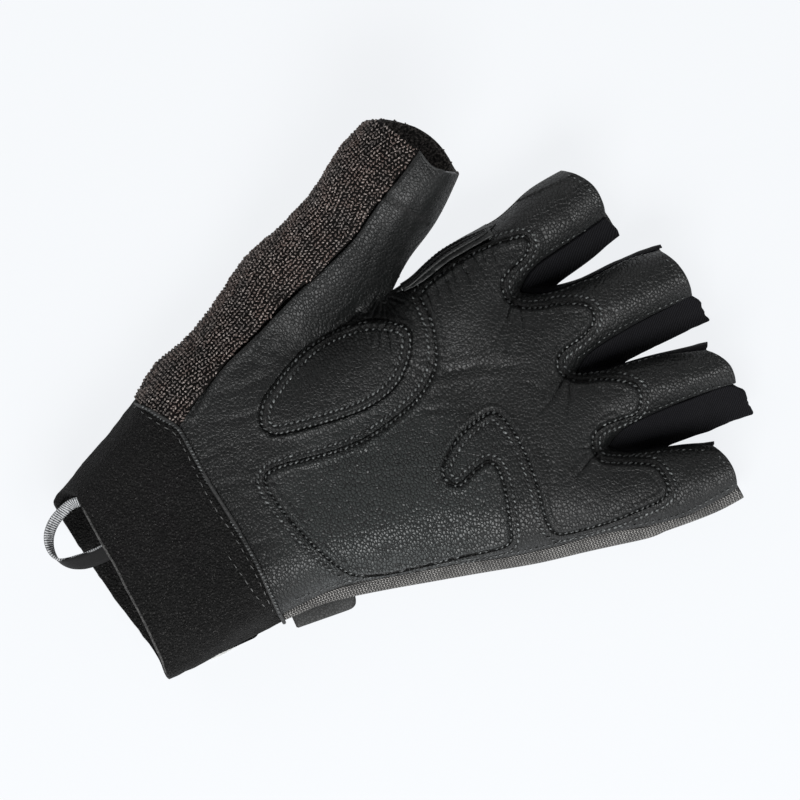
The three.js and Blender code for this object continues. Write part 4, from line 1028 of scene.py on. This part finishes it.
def thread_map(piece, edge):
    """Gives a piece a map in millimetres: along the hand, and from the middle of the back round its
    edge on the little finger's side."""
    points = read_places(piece)
    edge_x, edge_y = np.array(sorted(edge)).T
    turn_middle = np.interp(points[:, 0], edge_x, edge_y) + EDGE_TURN
    inward = points[:, 1] - turn_middle
    turned = EDGE_TURN * np.arctan2(points[:, 2] - EDGE_TURN, -inward)
    round_it = np.where(inward < 0, turned, -EDGE_TURN * math.pi / 2 - inward)
    layer = piece.data.uv_layers.new(name="threads")
    corners = np.array([c.vertex_index for c in piece.data.loops])
    flat = np.column_stack([points[corners, 0], round_it[corners]])
    layer.data.foreach_set("uv", flat.ravel())


thread_map(back, edge_lines["little_low"])
back_knit, tree = shader("grey_beige_knit")
threads = add(tree, "ShaderNodeUVMap", uv_map="threads").outputs[0]
along, across = add(tree, "ShaderNodeSeparateXYZ", {0: threads}).outputs[:2]
# a column of V shapes: the row's phase slants to either side of each column
column_phase = maths(tree, "FRACT", maths(tree, "DIVIDE", across, BACK_COLUMN))
fold = maths(tree, "ABSOLUTE", maths(tree, "SUBTRACT", column_phase, 0.5))
row_phase = plus(tree, maths(tree, "DIVIDE", along, BACK_ROW), times(tree, fold, 1.6))
row_wave = maths(tree, "SINE", times(tree, row_phase, 2 * math.pi))
column_wave = maths(tree, "ABSOLUTE", maths(tree, "SINE", times(tree, column_phase, 2 * math.pi)))
loops = times(tree, ramp(tree, row_wave, -0.8, 0.8), ramp(tree, column_wave, 0.0, 0.7))
fuzz = noise(tree, 2600.0, 3.0)
tone = ramp(tree, noise(tree, 140.0, 3.0), 0.35, 0.65)
beige = mixed(tree, tone, (0.2, 0.194, 0.185, 1), (0.36, 0.35, 0.335, 1))
# painted shade: the gaps between the loops are painted almost black; fuzz also darkens some loops at random
worn_loops_and_gap_shade = times(tree, loops, ramp(tree, fuzz, 0.3, 0.6, 0.35, 1.0))
finish(back_knit, mixed(tree, worn_loops_and_gap_shade, (0.01, 0.0095, 0.009, 1), beige),
       ramp(tree, fuzz, 0.2, 0.8, 0.85, 1.0), plus(tree, loops, times(tree, fuzz, 0.35)), 0.0005)
back.data.materials.append(back_knit)

# Between the fingers: strips of thin black stretch twill with raw ends, which stand a little past
# the leather. They run down one finger, round the crotch and up the next.
twill, tree = shader("black_stretch_twill")
coords = tree.nodes.new("ShaderNodeTexCoord").outputs["Object"]
turned = add(tree, "ShaderNodeMapping", {"Vector": coords, "Rotation": (0.3, 0.2, math.radians(58))})
diagonal = add(tree, "ShaderNodeTexWave", {
    "Vector": turned.outputs[0], "Scale": 760.0, "Distortion": 0.8, "Detail": 2.0, "Detail Scale": 3.0,
}, wave_type="BANDS", bands_direction="X").outputs["Fac"]
grainy = noise(tree, 3000.0)
black = mixed(tree, times(tree, diagonal, grainy), (0.0006, 0.0006, 0.0009, 1), (0.014, 0.014, 0.0175, 1))
weave = plus(tree, times(tree, diagonal, 0.7), times(tree, grainy, 0.5))
finish(twill, black, ramp(tree, grainy, 0.2, 0.8, 0.7, 0.9), weave, 0.00015, specular=0.1)

RAW_END = 1.6
ROLLED_CORNER = 2.2
CRUMPLE = 0.35
END_REACH = 14.0
for node, ends_at in (("fourchette_ring_little", 128.0), ("fourchette_middle_ring", 137.0),
                      ("fourchette_index_middle", 128.0)):
    strip = panel_copy(node, node + "_twill", 3, 0.5)
    points = read_places(strip)
    near_end = np.clip((points[:, 0] - ends_at) / END_REACH + 1, 0, 1) ** 2
    ragged = 0.6 + 0.5 * rough_noise(points[:, [1, 2]], 3.5, 21)
    level = points[:, 2]
    from_middle = np.abs(2 * (level - level.min()) / (level.max() - level.min()) - 1)
    points[:, 0] += near_end * (RAW_END * ragged - ROLLED_CORNER * from_middle**3)
    points[:, 1] += CRUMPLE * near_end * rough_noise(points[:, [0, 2]], 7, 22)
    write_places(strip, points)
    strip.data.materials.append(twill)

# Wrist band: soft black loop fabric with a short pile, cut and turned at the mouth, sewn to the
# hand under a rolled binding. The pile catches pale lint.
cuff = panel_copy("cuff", "wrist_band", 3, 0.6)
points = read_places(cuff)
normals = read_normals(cuff)
lumps = 0.24 * rough_noise(points[:, :2] + points[:, 2:] * 0.7, 9, 31)
lumps += 0.096 * rough_noise(points[:, :2], 2.5, 32)
write_places(cuff, points + normals * lumps[:, None])
plush, tree = shader("black_loop_pile")
coords = tree.nodes.new("ShaderNodeTexCoord").outputs["Object"]
tufts = maths(tree, "SUBTRACT", 1.0, ramp(tree, cells(tree, coords, 1350.0, "F1"), 0.1, 0.75))
nap = noise(tree, 2200.0, 3.0, 0.7)
brushed = ramp(tree, noise(tree, 90.0, 3.0), 0.35, 0.65)
dark_nap = mixed(tree, brushed, (0.0012, 0.0012, 0.0012, 1), (0.003, 0.003, 0.003, 1))
finish(plush, mixed(tree, ramp(tree, nap, 0.5, 0.74), dark_nap, (0.044, 0.043, 0.042, 1)),
       ramp(tree, nap, 0.3, 0.7, 0.88, 1.0), plus(tree, tufts, times(tree, nap, 0.9)), 0.0006, specular=0.2)
cuff.data.materials.append(plush)

# pale lint caught in the pile
LINT_COUNT = 420
LINT_HALF = (0.085, 0.04, 0.035)
LINT_ALONG = (-38, 1)
LINT_ACROSS = (-36, 34)
lint, tree = shader("pale_lint")
lint_tone = noise(tree, 300.0)
lit = ramp(tree, lint_tone, 0.35, 0.65)
finish(lint, mixed(tree, lit, (0.04, 0.039, 0.038, 1), (0.15, 0.147, 0.144, 1)),
       ramp(tree, lint_tone, 0.3, 0.7, 0.85, 0.95))
draw = np.random.default_rng(51)
cuff_tree = surface_of(cuff)
spots, turned, up_from = [], [], []
for x, y in zip(draw.uniform(*LINT_ALONG, LINT_COUNT), draw.uniform(*LINT_ACROSS, LINT_COUNT)):
    hit, up = top_hit([cuff_tree], x, y)
    if hit is not None and up.z > 0.1:
        spots.append(hit + up * 0.05)
        turned.append(Vector((draw.normal(), draw.normal(), draw.normal() * 0.4)).normalized())
        up_from.append(up)
lint_sizes = np.array(LINT_HALF) * draw.lognormal(0, 0.35, (len(spots), 3))
lint_piece = beads("cuff_lint", np.array(spots), np.array(turned), np.array(up_from), lint_sizes, lint)

# the turned edge of the mouth, in paler greys than the pile
RIM_RADIUS = 0.3
RIM_INSET = 0.35
MOUTH_DROP = 3.0
mouth = []
for y in np.arange(-32.0, 19.0, 1.0):
    upper_wall = top_hit([cuff_tree], -20.0, y)[0].z - MOUTH_DROP
    for x in np.arange(-46.0, -20.0, 0.15):
        hit = top_hit([cuff_tree], x, y)[0]
        if hit is not None and hit.z > upper_wall:
            mouth.append((x + RIM_INSET, y))
            break
for _ in range(6):
    mouth = [mouth[0]] + [tuple((np.array(a) + 2 * np.array(b) + np.array(c)) / 4)
                          for a, b, c in zip(mouth, mouth[1:], mouth[2:])] + [mouth[-1]]
pale_rim_shader, tree = shader("pale_pile_rim")
fluff = noise(tree, 1800.0, 3.0)
worn = ramp(tree, fluff, 0.35, 0.65)
finish(pale_rim_shader, mixed(tree, worn, (0.012, 0.012, 0.012, 1), (0.07, 0.069, 0.067, 1)),
       ramp(tree, fluff, 0.3, 0.7, 0.85, 1.0), fluff, 0.0003)
laid_cord("cuff_rim", smooth_line(mouth, 0.6), [cuff_tree], RIM_RADIUS, pale_rim_shader, sink=0.9)

# Binding of the wrist seam: a rolled strip of black fabric that hides where the band meets the
# leather. It goes round the wrist and is sewn across with fine stitches.
cuff_seam = panel_copy("cuff_binding", "cuff_seam_binding", 2, 0.0)
points = read_places(cuff_seam)
# it is slim, and pressed onto the leather and the pile, most beside the thumb
SLIMMER = 0.1
WRIST_MIDDLE = np.array((3.3, 14.5))
PRESSED = np.array((0.012, 0.034))
BESIDE_THUMB = 34.5
points -= SLIMMER * read_normals(cuff_seam)
points[:, 1:] += (WRIST_MIDDLE - points[:, 1:]) * PRESSED
points[:, 1] -= 0.25 * np.clip(points[:, 1] - BESIDE_THUMB, 0, None)
write_places(cuff_seam, points)
bound, tree = shader("rolled_binding")
ribs = noise(tree, 1300.0, 3.0)
finish(bound, mixed(tree, ribs, (0.0015, 0.0015, 0.0015, 1), (0.02, 0.0205, 0.0205, 1)),
       ramp(tree, ribs, 0.3, 0.7, 0.55, 0.8), ribs, 0.0003)
cuff_seam.data.materials.append(bound)
band_seam = smooth_line([(-11, 38.9), (-6, 31), (-3.1, 26.8), (-2.1, 19.8), (-1.6, 6.9), (0.5, -5.5),
                         (1.6, -17), (1.6, -27.6), (0.9, -31.1)], 0.5)
sew("binding_stitches", [band_seam], [surface_of(cuff_seam)], pitch=0.95,
    half=(0.5, 0.26, 0.2), slant=62.0)

# Stitches of the wrist band: a row of grey thread beside the binding, and a short second row by the
# little finger's side. They sink into the pile.
grey_thread, tree = shader("grey_thread")
twist = noise(tree, 4200.0)
finish(grey_thread, mixed(tree, twist, (0.03, 0.03, 0.03, 1), (0.13, 0.132, 0.13, 1)),
       ramp(tree, twist, 0.3, 0.7, 0.5, 0.7))
BAND_ROW_INSET = 1.5
short_row = smooth_line([(-4.7, -9.2), (-3.4, -16), (-2.2, -22.5), (-0.9, -28.6)], 0.5)
band_rows = [moved_aside(band_seam, -BAND_ROW_INSET), short_row]
sew("band_stitches", band_rows, [cuff_tree], pitch=2.6, half=(0.72, 0.14, 0.14), slant=3.0,
    yarn=grey_thread)

# Tape loop for pulling the glove on or clipping it to a harness: woven tape with a black outer
# face and a pale ribbed inner face, sewn into the mouth of the wrist band. It turns over at its
# far corner.
loop = panel_copy("pull_loop", "pull_loop_tape", 2, 1.0)
tape_line = smooth_line([(-28.5, 19), (-33, 20.4), (-37.5, 21.2), (-40.6, 19.6), (-44, 17.7), (-46.5, 15.5),
                         (-47.9, 12.8), (-48.2, 10.4), (-47.6, 8.1), (-45.6, 5.9), (-43.5, 4.9),
                         (-41.1, 4.4), (-38.5, 4.4), (-35.6, 4.4), (-30, 4.6)], 0.2)
points = read_places(loop)
loop_normals = read_normals(loop)
_, run = along_lines(points[:, :2], [tape_line])
CORNER_Y = 7.3
TAPE_MIDDLE = np.array((-42.0, 11.0))
towards_middle = TAPE_MIDDLE - points[:, :2]
towards_middle /= np.linalg.norm(towards_middle, axis=1)[:, None]
facing_in = (loop_normals[:, :2] * towards_middle).sum(axis=1)
facing_up = loop_normals[:, 2] * np.where(points[:, 1] > CORNER_Y, 1, -1)
keep_shares(loop, "inner_face", np.clip((facing_in + facing_up) * 3 + 0.5, 0, 1))
keep_shares(loop, "run", run)
RIB_PITCH = 0.62
tape, tree = shader("woven_tape")
inner = ramp(tree, add(tree, "ShaderNodeAttribute", attribute_name="inner_face").outputs["Fac"], 0.35, 0.65)
tape_run = add(tree, "ShaderNodeAttribute", attribute_name="run").outputs["Fac"]
rib = ramp(tree, maths(tree, "SINE", times(tree, tape_run, 2 * math.pi / RIB_PITCH)), -0.9, 0.5)
threads = noise(tree, 3200.0)
outer_tone = mixed(tree, threads, (0.0012, 0.0012, 0.0013, 1), (0.007, 0.007, 0.0073, 1))
pale_rib = mixed(tree, threads, (0.24, 0.25, 0.26, 1), (0.62, 0.63, 0.64, 1))
inner_tone = mixed(tree, rib, (0.05, 0.052, 0.055, 1), pale_rib)
tape_height = plus(tree, times(tree, times(tree, rib, inner), 0.7), times(tree, threads, 0.5))
finish(tape, mixed(tree, inner, outer_tone, inner_tone), ramp(tree, threads, 0.3, 0.7, 0.6, 0.8),
       tape_height, 0.0002, specular=0.2)
loop.data.materials.append(tape)

# Closure: the strap and its plain moulded patch lie under the wrist, and the end of the pull tab
# shows beside the seam.
# painted light: the tab's leather is painted lighter than the palm's, for the light on its side that faces
# the lamp by the little finger
lit_tab_skin = leather("tab_leather", (0.012, 0.0125, 0.0125, 1), (0.07, 0.072, 0.07, 1),
                   pebble=1300.0, dull=0.4, relief=0.00008)
for node, name, material, slot in (
    ("wrist_strap", "closure_strap", plush, "strap_fabric"),
    ("pull_tab", "closure_tab", lit_tab_skin, "tab_leather"),
):
    piece = panel_copy(node, name, 2, 0.8)
    piece.data.materials.append(material)
patch = panel_copy("strap_patch", "closure_patch", 2, 0.8)
moulded, tree = shader("pale_moulded_rubber")
fine_grain = noise(tree, 1500.0)
finish(moulded, mixed(tree, fine_grain, (0.45, 0.46, 0.45, 1), (0.55, 0.56, 0.55, 1)),
       ramp(tree, fine_grain, 0.3, 0.7, 0.5, 0.65), fine_grain, 0.0001)
patch.data.materials.append(moulded)
